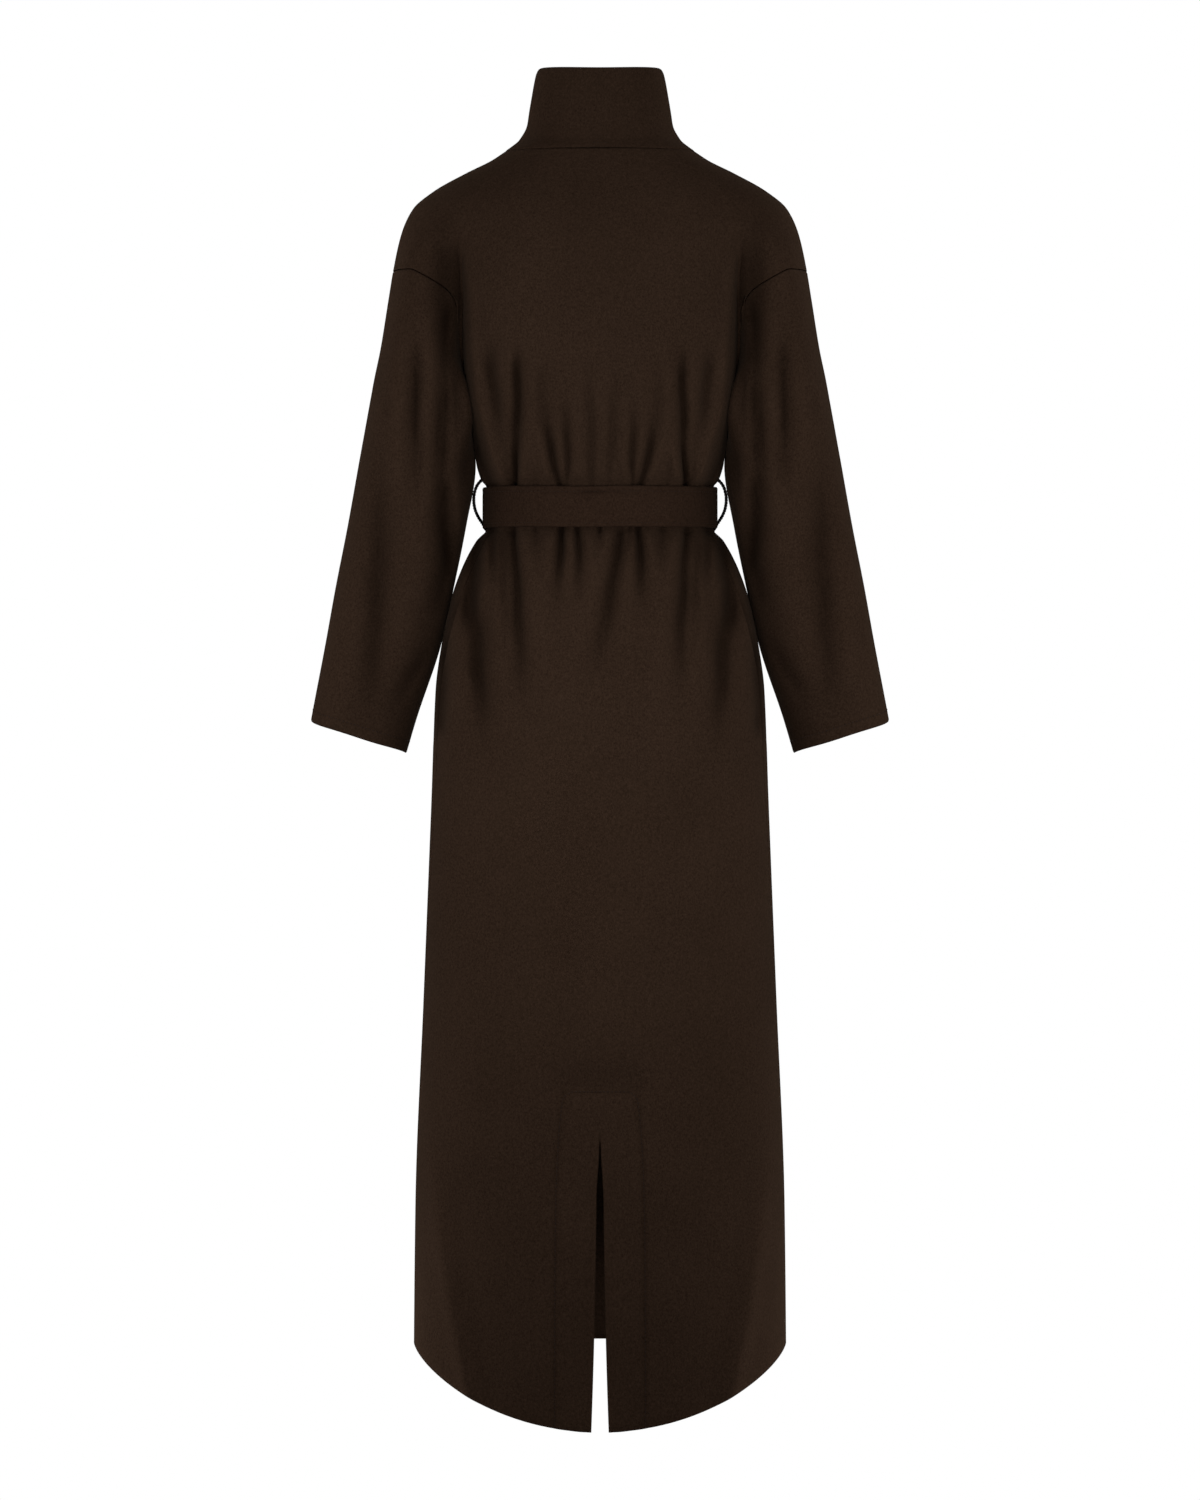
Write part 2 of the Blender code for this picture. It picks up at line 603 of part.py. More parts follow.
def build_front(name, hand, over, collection, cloth):
    """One front, from the side seam and shoulder round past the centre front."""
    half = body_columns()
    columns = np.concatenate((WRAP_STEPS, half[half > WRAP_CLEAR]))
    in_wrap = np.arange(len(columns)) < len(WRAP_STEPS)
    hem_place = np.where(in_wrap, columns * wrap_place(HEM_SIDE), columns)
    hem = HEM_SIDE - HEM_FRONT_DROP * np.cos(pi / 2 * np.clip(np.abs(hem_place), 0, 1))
    places, levels, keep = panel_grid(np.where(in_wrap, 0, columns), hem, NECK_BACK + 0 * columns)
    places = np.broadcast_to(columns, levels.shape).copy()
    places[:, in_wrap] = columns[in_wrap] * wrap_place(levels[:, in_wrap])
    neck = neck_level(places[-1], -1.0) - SEAM_GAP / 2
    first = len(levels) - UPPER_ROWS
    start = levels[first - 1]
    for row in range(UPPER_ROWS):
        levels[first + row] = start + (neck - start) * (row + 1) / UPPER_ROWS
        places[first + row, in_wrap] = columns[in_wrap] * wrap_place(levels[first + row, in_wrap])

    def point(place, z):
        return front_point(place, z, hand, over)

    outer, inner = wall_points(point, places, levels, hand, CLOTH, at_ridge=True)
    return add_part(name, cloth_wall(outer, inner, keep), collection, cloth)


def build_sleeve(name, hand, collection, cloth):
    """One dropped sleeve, open at the armhole and the cuff."""
    steps = np.array(ARM_STEPS)
    columns = np.concatenate((steps, 2 - steps[-2::-1]))
    place = np.where(columns <= 1, columns, 2 - columns)
    top = armhole_level(place) - armhole_gap(place) / 2
    cuff = CUFF_INNER + (CUFF_OUTER - CUFF_INNER) * (1 - np.cos(pi * place)) / 2
    cuff = cuff - CUFF_BULGE * np.sin(pi * place)
    levels = np.array([top + (cuff - top) * row / SLEEVE_ROWS for row in range(SLEEVE_ROWS + 1)])
    places = np.broadcast_to(columns, levels.shape)

    def point(where, z):
        return sleeve_point(np.where(where < 0, where + 2, np.where(where > 2, where - 2, where)), z, hand)

    normals = outward(point, places, levels, -hand)
    outer = point(places, levels)
    wall = cloth_wall(outer, outer - normals * CLOTH, closed=True)
    return add_part(name, wall, collection, cloth)


def build_collar(collection, cloth):
    """The funnel collar, its right end lying over its left."""
    behind = body_columns()
    ahead = behind[behind > WRAP_CLEAR][-2::-1]
    wrap = np.array(WRAP_STEPS)[::-1] * wrap_place(np.array(-NECK_FRONT_DROP))
    half = np.concatenate((behind / 2, 2 - ahead / 2, 2 - wrap / 2))
    columns = np.concatenate((-half[::-1], (0.0,), half))
    parts = np.array((0.0, 0.13, 0.30, 0.62, 1.0))
    places = np.broadcast_to(columns, (len(parts), len(columns)))
    heights = np.broadcast_to(parts[:, None], places.shape)
    step = 0.004
    across = collar_point(places + step, heights) - collar_point(places - step, heights)
    up = collar_point(places, heights + 0.01) - collar_point(places, heights)
    normals = np.cross(up, across)
    normals[0, :, 2] = 0
    normals = normals / np.linalg.norm(normals, axis=-1, keepdims=True)
    outer = collar_point(places, heights)
    return add_part("collar", cloth_wall(outer, outer - normals * CLOTH), collection, cloth)


def build_facing(collection, cloth):
    """The U-shaped facing behind the slit."""
    half = np.array((0.06, 0.12, 0.18)) * FACING_HALF_WIDTH / 0.045
    edge = SLIT_START_GAP / 2 / 0.15 / (pi / 2)
    columns = np.concatenate((-half[::-1], (-edge, edge), half))
    hem = hem_back(columns) + 0.004
    steps = np.array(HEM_STEPS[:-1])
    low = np.array([hem + (SLIT_TOP - hem) * step / steps[-1] for step in steps])
    high = np.broadcast_to(np.array((FACING_ROW, FACING_TOP))[:, None], (2, len(columns)))
    levels = np.concatenate((low, high))
    places = np.broadcast_to(columns, levels.shape)
    keep = np.ones((levels.shape[0] - 1, levels.shape[1] - 1), dtype=bool)
    keep[:len(steps) - 1, len(half)] = False
    normals = outward(back_point, places, levels, -1)
    face = back_point(places, levels)
    outer = face - normals * (CLOTH + NUDGE)
    inner = outer - normals * FACING_CLOTH
    return add_part("slit_facing", cloth_wall(outer, inner, keep), collection, cloth)


def belt_face(angle, z, lift):
    """A point on the belt's inner face or further out, by angle from the centre back."""
    hand = np.sign(np.sin(angle))
    turn = np.abs(np.arctan2(np.sin(angle), np.cos(angle)))
    middle = np.full_like(angle, (BELT_TOP + BELT_BOTTOM) / 2)
    x, y = torso_point(turn, middle)
    over = (CLOTH + LAYER_GAP) * ease((turn - pi * 0.52) / (pi * 0.12))
    x, y = pressed(x, y, middle, -(BELT_CLEAR + over + lift))
    return np.stack((np.where(hand < 0, -x, x), y, z), axis=-1)


def build_belt(collection, cloth):
    """The belt band, a closed strip round the waist."""
    angles = np.linspace(0, 2 * pi, 61)
    rise = np.array((0.0, 0.5, 1.0))
    places = np.broadcast_to(angles, (len(rise), len(angles)))
    levels = np.broadcast_to((BELT_BOTTOM + (BELT_TOP - BELT_BOTTOM) * rise)[:, None], places.shape)
    outer = belt_face(places, levels, BELT_CLOTH)
    inner = belt_face(places, levels, 0.0)
    return add_part("belt_band", cloth_wall(outer, inner, closed=True), collection, cloth)


def front_face(x, z, lift):
    """A point in front of the outer front at a place across and a height."""
    depth = oval_edge(x, half_width(z), front_depth(z), squareness(z))
    place = np.arctan2(x, depth) / (pi / 2)
    base = front_point(-place, z, -1.0, 1.0)
    return base + np.stack((0 * x, -lift + 0 * x, 0 * x), axis=-1)


def build_belt_end(name, lean, length, start_x, lift, collection, cloth):
    """A belt end hanging from the knot down the front."""
    rows = 9
    fall = np.linspace(0, 1, rows)
    centre = start_x + lean * fall
    half = END_HALF_WIDTH * np.minimum(0.72 + fall * 1.6, 1.0)
    top = (BELT_TOP + BELT_BOTTOM) / 2 - KNOT_HALF_HEIGHT - NUDGE
    across = np.linspace(-1, 1, 5)
    x = centre[:, None] + half[:, None] * across[None, :]
    z = np.broadcast_to((top - length * fall)[:, None], x.shape)
    clear = lift + 0.009 * (1 - ease(fall * 4))[:, None] + 0 * x
    inner = front_face(x, z, clear)
    outer = front_face(x, z, clear + BELT_CLOTH)
    return add_part(name, cloth_wall(outer, inner), collection, cloth)


def build_knot(collection, cloth):
    """The knot of the belt, a soft lump pinched at its middle."""
    bm = bmesh.new()
    bmesh.ops.create_cube(bm, size=2.0)
    bmesh.ops.subdivide_edges(bm, edges=bm.edges[:], cuts=5, use_grid_fill=True)
    level = (BELT_TOP + BELT_BOTTOM) / 2
    face = belt_face(np.array((pi,)), np.array((level,)), BELT_CLOTH + KNOT_CLEAR)[0]
    for vert in bm.verts:
        x, y, z = vert.co
        round_off = (1 + 0.30 * (x * x + z * z)) ** -0.5
        swell = (1 - 0.42 * x * x) * (1 - 0.35 * z * z)
        pinch = 1 - 0.16 * (1 - z * z)
        vert.co.x = KNOT_OFFSET + KNOT_HALF_WIDTH * x * pinch * round_off * 1.14
        vert.co.z = level + KNOT_HALF_HEIGHT * z * round_off * 1.14
        vert.co.y = face[1] - KNOT_DEPTH * ((1 - y) / 2) * swell
    return add_part("belt_knot", bm, collection, cloth)


def build_loop(name, hand, collection, thread):
    """A thread loop that stands off the side of the coat and holds the belt."""
    curve = bpy.data.curves.new(name, "CURVE")
    curve.dimensions = "3D"
    curve.bevel_depth = LOOP_RADIUS
    curve.bevel_resolution = 2
    curve.use_fill_caps = True
    spline = curve.splines.new("POLY")
    spline.points.add(len(LOOP) - 1)
    for point, row in zip(spline.points, LOOP):
        point.co = (hand * row.x, row.y, row.level, 1.0)
    curve.materials.append(thread)
    part = bpy.data.objects.new(name, curve)
    collection.objects.link(part)
    return part


def main():
    """Builds the coat."""
    for item in list(bpy.data.objects):
        bpy.data.objects.remove(item, do_unlink=True)
    collection = bpy.data.collections.new("belted_coat")
    bpy.context.scene.collection.children.link(collection)
    wool = cloth_material("brown_wool", (0.028, 0.016, 0.010), 0.9)
    facing = cloth_material("facing_wool", (0.024, 0.014, 0.009), 0.9)
    belt = cloth_material("belt_wool", (0.026, 0.015, 0.0095), 0.9)
    thread = cloth_material("black_thread", (0.006, 0.005, 0.005), 0.7)
    build_back(collection, wool)
    build_front("front_right", -1.0, 1.0, collection, wool)
    build_front("front_left", 1.0, 0.0, collection, wool)
    build_sleeve("sleeve_right", -1.0, collection, wool)
    build_sleeve("sleeve_left", 1.0, collection, wool)
    build_collar(collection, wool)
    build_facing(collection, facing)
    build_belt(collection, belt)
    build_knot(collection, belt)
    build_belt_end("belt_end_right", -0.030, 0.330, KNOT_OFFSET - 0.0165, END_CLEAR, collection, belt)
    build_belt_end("belt_end_left", 0.036, 0.290, KNOT_OFFSET + 0.0165, END_CLEAR, collection, belt)
    build_loop("belt_loop_right", -1.0, collection, thread)
    build_loop("belt_loop_left", 1.0, collection, thread)


main()
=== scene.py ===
"""Dresses the belted coat: fine cloth panels, sewing, brown wool and a plain studio.

Metres, +Z up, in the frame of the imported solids. The back of the coat faces +Y, where the camera stands, and
the wearer's left is +X. Every panel follows the level sections of its solid and adds the creases of worn
cloth.
"""
import logging
from dataclasses import dataclass, replace
from enum import Enum
from math import pi
from typing import Optional, Sequence

import bmesh
import bpy
import numpy as np
from mathutils import Matrix, Vector


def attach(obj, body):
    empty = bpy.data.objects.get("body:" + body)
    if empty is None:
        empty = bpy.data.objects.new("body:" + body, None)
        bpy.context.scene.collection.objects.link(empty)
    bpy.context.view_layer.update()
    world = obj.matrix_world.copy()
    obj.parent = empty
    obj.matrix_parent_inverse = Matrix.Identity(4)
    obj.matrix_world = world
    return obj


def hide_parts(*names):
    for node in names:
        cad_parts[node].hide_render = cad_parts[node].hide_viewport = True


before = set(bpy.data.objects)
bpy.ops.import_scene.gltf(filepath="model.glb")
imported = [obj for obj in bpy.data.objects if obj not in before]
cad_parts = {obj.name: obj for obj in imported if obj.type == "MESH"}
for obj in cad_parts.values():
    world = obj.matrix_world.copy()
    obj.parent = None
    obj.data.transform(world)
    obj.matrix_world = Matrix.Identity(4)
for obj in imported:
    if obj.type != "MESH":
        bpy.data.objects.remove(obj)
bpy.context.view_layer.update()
LOG = logging.getLogger("belted_coat")
BODY = "root"
Array = np.ndarray
Reals = Array | float
Colour = tuple[float, float, float]
TINY = 1e-9
TINY_LENGTH = 1e-12


class Side(Enum):
    """The wearer's side of a paired piece, as the sign of X."""

    LEFT = 1.0
    RIGHT = -1.0

    @property
    def word(self) -> str:
        """The side as it stands in a piece's name."""
        return self.name.lower()


class Slot(Enum):
    """The record's material slots."""

    WOOL = "wool"
    BELT = "belt_wool"
    THREAD = "thread"


class Held(Enum):
    """How a sheet of cloth is held."""

    HUNG = "hung"
    GATHERED = "gathered"
    STRETCHED = "stretched"


@dataclass(frozen=True)
class CoatSizes:
    """Driving sizes of the coat: those of its solids, those of its folds and edges, and those of its painted
    shade.
    """

    cloth: float = 0.0022
    belt_cloth: float = 0.0032
    facing_cloth: float = 0.0015
    seam_gap: float = 0.0003
    layer_gap: float = 0.0013
    nudge: float = 0.0006
    collar_top: float = 0.082
    neck_front_drop: float = 0.024
    shoulder_seam: float = -0.1228
    underarm: float = -0.232
    belt_top: float = -0.343
    belt_bottom: float = -0.3845
    knee: float = -0.860
    facing_top: float = -0.9525
    slit_top: float = -1.003
    hem_side: float = -1.215
    hem_back_drop: float = 0.078
    hem_front_drop: float = 0.006
    split_start: float = -0.072
    split_full: float = -0.125
    fold_notch: float = 0.03
    armhole_turn: float = 0.40
    armhole_rise: float = 0.0365
    armhole_dip: float = 0.0727
    armhole_clear: float = 14.0
    slit_start_gap: float = 0.0012
    slit_gap_upper: float = 0.0055
    slit_gap_lower: float = 0.011
    slit_spread: float = 0.030
    wrap_neck: float = 0.032
    wrap_waist: float = 0.060
    wrap_hem: float = 0.085
    wrap_ease: float = 0.30
    neck_lift: float = 0.35
    wrap_clear: float = 0.45
    cuff_outer: float = -0.5795
    cuff_inner: float = -0.6130
    cuff_bulge: float = 0.0015
    collar_flare: float = 0.030
    collar_side_rise: float = 0.0028
    belt_clear: float = 0.0012
    arm_squareness: float = 2.25
    cuff_squareness: float = 2.75
    shoulder_squareness: float = 2.35
    collar_squareness: float = 2.1
    side_fade: float = 0.060
    crease_fade: float = 0.045
    belt_free: float = 0.012
    side_tuck: float = 0.0036
    side_rest: float = 0.0006
    # Painted shade beside the side seam, for each unit of the front's tuck
    tuck_shade: float = 3.2
    tuck_edge: float = 0.87
    tuck_top: float = -0.44
    tuck_top_run: float = 0.04
    tuck_low: float = -0.607
    tuck_low_run: float = 0.015
    notch_run: float = 0.03
    notch_least: float = 1e-6
    slit_open_share: float = 0.2
    wrap_run: float = 0.8
    armhole_curve: float = 1.2
    armhole_hook: float = 30.0
    hem_curve: float = 0.75
    cuff_square_top: float = -0.40
    cuff_square_run: float = 0.14
    belt_over_start: float = 0.52
    belt_over_run: float = 0.12
    # Painted shadow of the belt on the cloth below it
    belt_shade: float = 0.0042
    belt_shade_low: float = -0.440
    belt_shade_run: float = 0.048
    gather_fade: float = 1.4
    arm_fade: float = 0.034
    arm_twin_share: float = 0.93
    arm_twin_drop: float = -0.004
    drift_slow: float = 0.0007
    drift_quick: float = 0.0004
    crease_sway: float = 0.0008
    crease_waves: float = 88.0
    crease_start: float = 410.0
    trough_spread: float = 1.4
    trough_power: float = -1.8
    lip_place: float = 2.2

    @property
    def belt_middle(self) -> float:
        """The height of the belt's middle line."""
        return (self.belt_top + self.belt_bottom) / 2


@dataclass(frozen=True)
class BodySection:
    """One level section of the torso and skirt."""

    level: float
    half_width: float
    back_depth: float
    front_depth: float
    squareness: float


@dataclass(frozen=True)
class ArmSection:
    """One level section of the shoulder and sleeve."""

    level: float
    outer: float
    inner: float
    depth: float
    fold: float
    forward: float


@dataclass(frozen=True)
class SeamPlace:
    """How far the side seam sits behind the side, as a share of a quarter turn."""

    level: float
    behind: float


@dataclass(frozen=True)
class CollarRing:
    """One level section of the standing collar."""

    level: float
    half_width: float
    back_depth: float
    front_depth: float


@dataclass(frozen=True)
class Gather:
    """A fold that the belt draws in, as in the solids."""

    x_belt: float
    x_far: float
    z_belt: float
    z_far: float
    wide_belt: float
    wide_far: float
    depth: float

    def push(self, x: Array, z: Array) -> Array:
        """How far the gather draws the cloth in.

        Args:
            x: Places across the body.
            z: Heights.

        Returns:
            The inward push at each place.
        """
        length = self.z_far - self.z_belt
        run = (z - self.z_belt) * np.sign(length)
        part = np.clip(run / abs(length), 0, 1)
        under = ease(1 + np.minimum(run, 0) / (S.belt_top - S.belt_bottom))
        hump = bell(x, between(self.x_belt, self.x_far, part), between(self.wide_belt, self.wide_far, part))
        return self.depth * under * (1 - part) ** S.gather_fade * hump


@dataclass(frozen=True)
class SleeveBend:
    """A long soft bend of the sleeve by place round it, as in the solids."""

    place_top: float
    place_low: float
    z_top: float
    z_low: float
    wide: float
    depth: float


@dataclass(frozen=True)
class ThreadPlace:
    """One point of the left thread loop."""

    level: float
    x: float
    y: float


@dataclass(frozen=True)
class Crease:
    """A soft trough in the cloth, or a ridge where its depth is negative.

    It runs from its upper to its lower end, bowed sideways in between, deepens over a first share of its
    length and fades over a last one. Two low lips run beside it, where the cloth is pushed up.
    """

    x_top: float
    z_top: float
    x_low: float
    z_low: float
    bow: float
    wide_top: float
    wide_low: float
    depth: float
    rise: float = 0.5
    fall: float = 0.5
    lip: float = 0.26

    def push(self, x: Array, z: Array) -> Array:
        """How far the crease draws the cloth in.

        Args:
            x: Places across the panel.
            z: Heights.

        Returns:
            The inward push at each place.
        """
        part = (self.z_top - z) / (self.z_top - self.z_low)
        run = np.clip(part, 0, 1)
        sway = S.crease_sway * np.sin(S.crease_waves * z + S.crease_start * self.x_top)
        centre = between(self.x_top, self.x_low, run) + 4 * (self.bow + sway) * run * (1 - run)
        away = (x - centre) / between(self.wide_top, self.wide_low, run)
        fade = ease(part / self.rise) * ease((1 - part) / self.fall)
        core = (1 + S.trough_spread * away ** 2) ** S.trough_power
        lips = bell(away, S.lip_place) + bell(away, -S.lip_place)
        return self.depth * fade * (core - self.lip * lips)

    def varied(self, depth: float, drop: float) -> "Crease":
        """The same crease with its depth and height changed a little."""
        return replace(self, depth=self.depth * depth, z_top=self.z_top - drop, z_low=self.z_low - drop)

    def mirrored(self) -> "Crease":
        """The same crease on the other side of the centre line."""
        return replace(self, x_top=-self.x_top, x_low=-self.x_low, bow=-self.bow)


S = CoatSizes()


def table(kind: type, *rows: tuple[float, ...]) -> tuple:
    """Rows of numbers as records of one kind."""
    return tuple(kind(*row) for row in rows)


SECTIONS = table(
    BodySection,
    (-1.3, 0.1905, 0.15, 0.142, 2.25),
    (-1.07, 0.1882, 0.147, 0.138, 2.3),
    (-0.865, 0.18, 0.14, 0.131, 2.35),
    (-0.661, 0.1719, 0.131, 0.122, 2.4),
    (-0.549, 0.1678, 0.126, 0.117, 2.4),
    (-0.503, 0.1617, 0.122, 0.114, 2.4),
    (-0.457, 0.152, 0.115, 0.11, 2.4),
    (-0.426, 0.1413, 0.107, 0.106, 2.35),
    (-0.396, 0.1255, 0.095, 0.1, 2.3),
    (-0.385, 0.1155, 0.087, 0.095, 2.3),
    (-0.3425, 0.1155, 0.087, 0.095, 2.3),
    (-0.335, 0.121, 0.093, 0.101, 2.4),
    (-0.318, 0.1262, 0.0985, 0.1065, 2.5),
    (-0.3, 0.1285, 0.1015, 0.1095, 2.6),
    (-0.253, 0.1345, 0.109, 0.117, 2.9),
    (-0.202, 0.1398, 0.113, 0.12, 3.2),
    (-0.151, 0.1404, 0.113, 0.117, 3.3),
    (-0.1, 0.146, 0.107, 0.11, 3.1),
    (-0.059, 0.129, 0.094, 0.1, 2.6),
    (-0.022, 0.09, 0.076, 0.087, 2.3),
    (0.0, 0.064, 0.064, 0.076, 2.2),
)
ARM_SECTIONS = table(
    ArmSection,
    (-0.62, 0.3035, 0.2005, 0.053, 0.0, 0.04),
    (-0.576, 0.2953, 0.1873, 0.055, 0.0, 0.034),
    (-0.503, 0.281, 0.1628, 0.06, 0.0, 0.024),
    (-0.442, 0.2698, 0.149, 0.065, 0.0, 0.017),
    (-0.381, 0.2576, 0.1366, 0.07, 0.0, 0.011),
    (-0.319, 0.2463, 0.1268, 0.074, 0.0, 0.006),
    (-0.286, 0.2402, 0.129, 0.076, 0.0, 0.0035),
    (-0.253, 0.2341, 0.1332, 0.078, 0.0, 0.001),
    (-0.232, 0.2302, 0.137, 0.078, 0.0, 0.0),
    (-0.202, 0.2239, 0.1423, 0.076, 0.017, 0.0),
    (-0.151, 0.2157, 0.1369, 0.07, 0.04, 0.0),
    (-0.12, 0.2106, 0.1312, 0.069, 0.052, 0.0),
    (-0.084, 0.2025, 0.125, 0.072, 0.062, 0.0),
    (-0.059, 0.191, 0.115, 0.07, 0.06, 0.0),
    (-0.041, 0.17, 0.105, 0.066, 0.056, 0.0),
    (-0.022, 0.136, 0.09, 0.06, 0.05, 0.0),
    (-0.01, 0.1117, 0.0765, 0.056, 0.046, 0.0),
    (0.0, 0.0965, 0.068, 0.052, 0.042, 0.0),
)
SIDE_SEAM = table(
    SeamPlace,
    (-1.215, 0.02),
    (-0.85, 0.1),
    (-0.6, 0.16),
    (-0.52, 0.18),
    (-0.42, 0.24),
    (-0.343, 0.18),
    (-0.232, 0.0),
)
COLLAR_RINGS = table(
    CollarRing,
    (-0.03, 0.08, 0.06, 0.073),
    (0.03, 0.0738, 0.0565, 0.068),
    (0.06, 0.069, 0.0545, 0.065),
    (0.073, 0.0666, 0.0533, 0.063),
    (0.08, 0.0648, 0.0527, 0.062),
    (0.0842, 0.0622, 0.0522, 0.0612),
    (0.0866, 0.059, 0.0519, 0.0608),
)
BACK_GATHERS = table(
    Gather,
    (0.0895, 0.084, S.belt_top, -0.212, 0.006, 0.015, 0.004),
    (-0.0895, -0.084, S.belt_top, -0.212, 0.006, 0.015, 0.0038),
    (0.0385, 0.06, S.belt_top, -0.23, 0.006, 0.014, 0.003),
    (-0.0375, -0.059, S.belt_top, -0.234, 0.006, 0.014, 0.0028),
    (0.0913, 0.078, S.belt_bottom, -0.61, 0.0065, 0.017, 0.004),
    (-0.0905, -0.0795, S.belt_bottom, -0.6, 0.0065, 0.017, 0.0038),
    (0.038, 0.045, S.belt_bottom, -0.48, 0.006, 0.014, 0.0025),
    (-0.0385, -0.044, S.belt_bottom, -0.475, 0.006, 0.014, 0.0025),
    (-0.021, 0.008, S.belt_bottom, -0.56, 0.007, 0.014, 0.0016),
    (0.113, 0.122, -0.44, -0.64, 0.012, 0.018, 0.003),
    (-0.113, -0.123, -0.44, -0.64, 0.012, 0.018, 0.003),
)
FRONT_GATHERS = table(
    Gather,
    (0.086, 0.08, S.belt_top, -0.215, 0.007, 0.016, 0.0045),
    (-0.088, -0.082, S.belt_top, -0.205, 0.007, 0.016, 0.0045),
    (0.088, 0.08, S.belt_bottom, -0.59, 0.007, 0.018, 0.0045),
    (-0.087, -0.079, S.belt_bottom, -0.6, 0.007, 0.018, 0.0045),
)
SLEEVE_BENDS = table(
    SleeveBend,
    (0.2, 0.24, -0.15, -0.47, 0.075, 0.0045),
    (0.22, 0.22, -0.2, -0.33, 0.06, -0.013),
    (0.62, 0.5, -0.32, -0.54, 0.09, 0.0025),
    (1.75, 1.7, -0.19, -0.48, 0.08, 0.0045),
    (1.4, 1.48, -0.36, -0.54, 0.09, 0.003),
)

LOOP = table(
    ThreadPlace,
    (-0.3335, 0.1196, 0.0),
    (-0.34, 0.126, 0.0),
    (-0.35, 0.1288, 0.0),
    (-0.358, 0.1289, -0.002),
    (-0.366, 0.1274, -0.009),
    (-0.373, 0.124, -0.022),
    (-0.379, 0.1195, -0.037),
    (-0.3855, 0.1163, -0.047),
    (-0.392, 0.1115, -0.049),
)

# Creases of the left half of the back, above and below the belt, and those that have no twin
BACK_PAIRED = table(
    Crease,
    (0.0825, -0.192, 0.084, -0.318, 0.0, 0.0076, 0.0062, 0.0122, 0.35, 0.35, 0.2),
    (0.0842, -0.284, 0.0886, -0.352, -0.0006, 0.0052, 0.0034, 0.014, 0.55, 0.08, 0.3),
    (0.1135, -0.188, 0.0985, -0.315, 0.0, 0.0095, 0.008, 0.0098, 0.32, 0.5),
    (0.0985, -0.28, 0.094, -0.346, 0.0, 0.006, 0.0038, 0.0056, 0.6, 0.2),
    (0.131, -0.225, 0.0935, -0.349, 0.0047, 0.008, 0.005, -0.0056, 0.35, 0.1, 0.1),
    (0.139, -0.255, 0.105, -0.352, 0.004, 0.01, 0.0075, 0.008, 0.5, 0.1, 0.1),
    (0.059, -0.258, 0.039, -0.352, 0.001, 0.0056, 0.0034, 0.0084, 0.55, 0.08, 0.32),
    (0.059, -0.205, 0.0575, -0.295, 0.0, 0.0078, 0.007, 0.003, 0.5, 0.5),
    (0.0345, -0.24, 0.0335, -0.352, -0.001, 0.0052, 0.0038, 0.0062, 0.6, 0.1),
    (0.1375, -0.085, 0.125, -0.275, -0.001, 0.01, 0.009, -0.005, 0.3, 0.25, 0.0),
    (0.0905, -0.374, 0.0815, -0.59, -0.0045, 0.0044, 0.0125, 0.0092, 0.08, 0.62, 0.22),
    (0.1, -0.378, 0.096, -0.54, 0.0, 0.006, 0.01, 0.007, 0.15, 0.6, 0.1),
    (0.1115, -0.372, 0.108, -0.45, 0.0, 0.008, 0.0085, 0.0105, 0.1, 0.65, 0.1),
    (0.108, -0.38, 0.126, -0.505, 0.0022, 0.006, 0.0075, -0.0034, 0.15, 0.4, 0.0),
    (0.12, -0.376, 0.135, -0.5, 0.003, 0.009, 0.014, 0.015, 0.15, 0.35, 0.06),
    (0.132, -0.43, 0.1175, -0.62, -0.001, 0.013, 0.012, 0.012, 0.35, 0.52, 0.12),
    (0.0382, -0.374, 0.044, -0.485, 0.0, 0.0036, 0.0085, 0.0096, 0.1, 0.75),
    (0.1585, -0.48, 0.161, -0.604, 0.0, 0.008, 0.008, 0.01, 0.35, 0.2, 0.0),
    (0.156, -0.96, 0.106, -1.285, 0.006, 0.016, 0.015, 0.0015, 0.5, 0.12, 0.0),
    (0.18, -0.96, 0.127, -1.285, 0.006, 0.013, 0.014, -0.0062, 0.5, 0.1, 0.0),
)
BACK_SINGLE = table(
    Crease,
    (0.0125, -0.196, 0.0085, -0.352, -0.001, 0.007, 0.005, 0.0038, 0.5, 0.1),
    (-0.016, -0.202, -0.0085, -0.352, -0.001, 0.0072, 0.005, 0.003, 0.55, 0.1),
    (-0.021, -0.31, -0.0205, -0.352, 0.0, 0.004, 0.0036, 0.0026, 0.7, 0.15),
    (0.067, -0.318, 0.064, -0.352, 0.0, 0.0045, 0.004, 0.0028, 0.65, 0.2),
    (-0.0705, -0.306, -0.066, -0.352, 0.0, 0.005, 0.004, 0.0026, 0.65, 0.2),
    (0.0232, -0.374, 0.02, -0.48, 0.0, 0.0038, 0.008, 0.0084, 0.12, 0.75),
    (0.001, -0.374, 0.0005, -0.404, 0.0, 0.0026, 0.0042, 0.0056, 0.2, 0.65),
    (-0.03, -0.374, -0.029, -0.426, 0.0, 0.0032, 0.0058, 0.0056, 0.16, 0.75),
    (-0.0235, -0.374, 0.015, -0.57, -0.003, 0.0048, 0.0135, 0.008, 0.12, 0.62, 0.24),
    (0.0655, -0.374, 0.064, -0.43, 0.0, 0.0045, 0.007, 0.0036, 0.18, 0.75),
    (-0.062, -0.374, -0.065, -0.444, 0.0, 0.0045, 0.0075, 0.0038, 0.16, 0.75),
    (-0.0455, -0.553, -0.0485, -0.564, 0.0, 0.005, 0.005, 0.0024),
    (-0.018, -0.588, -0.02, -0.596, 0.0, 0.006, 0.006, 0.0016),
)
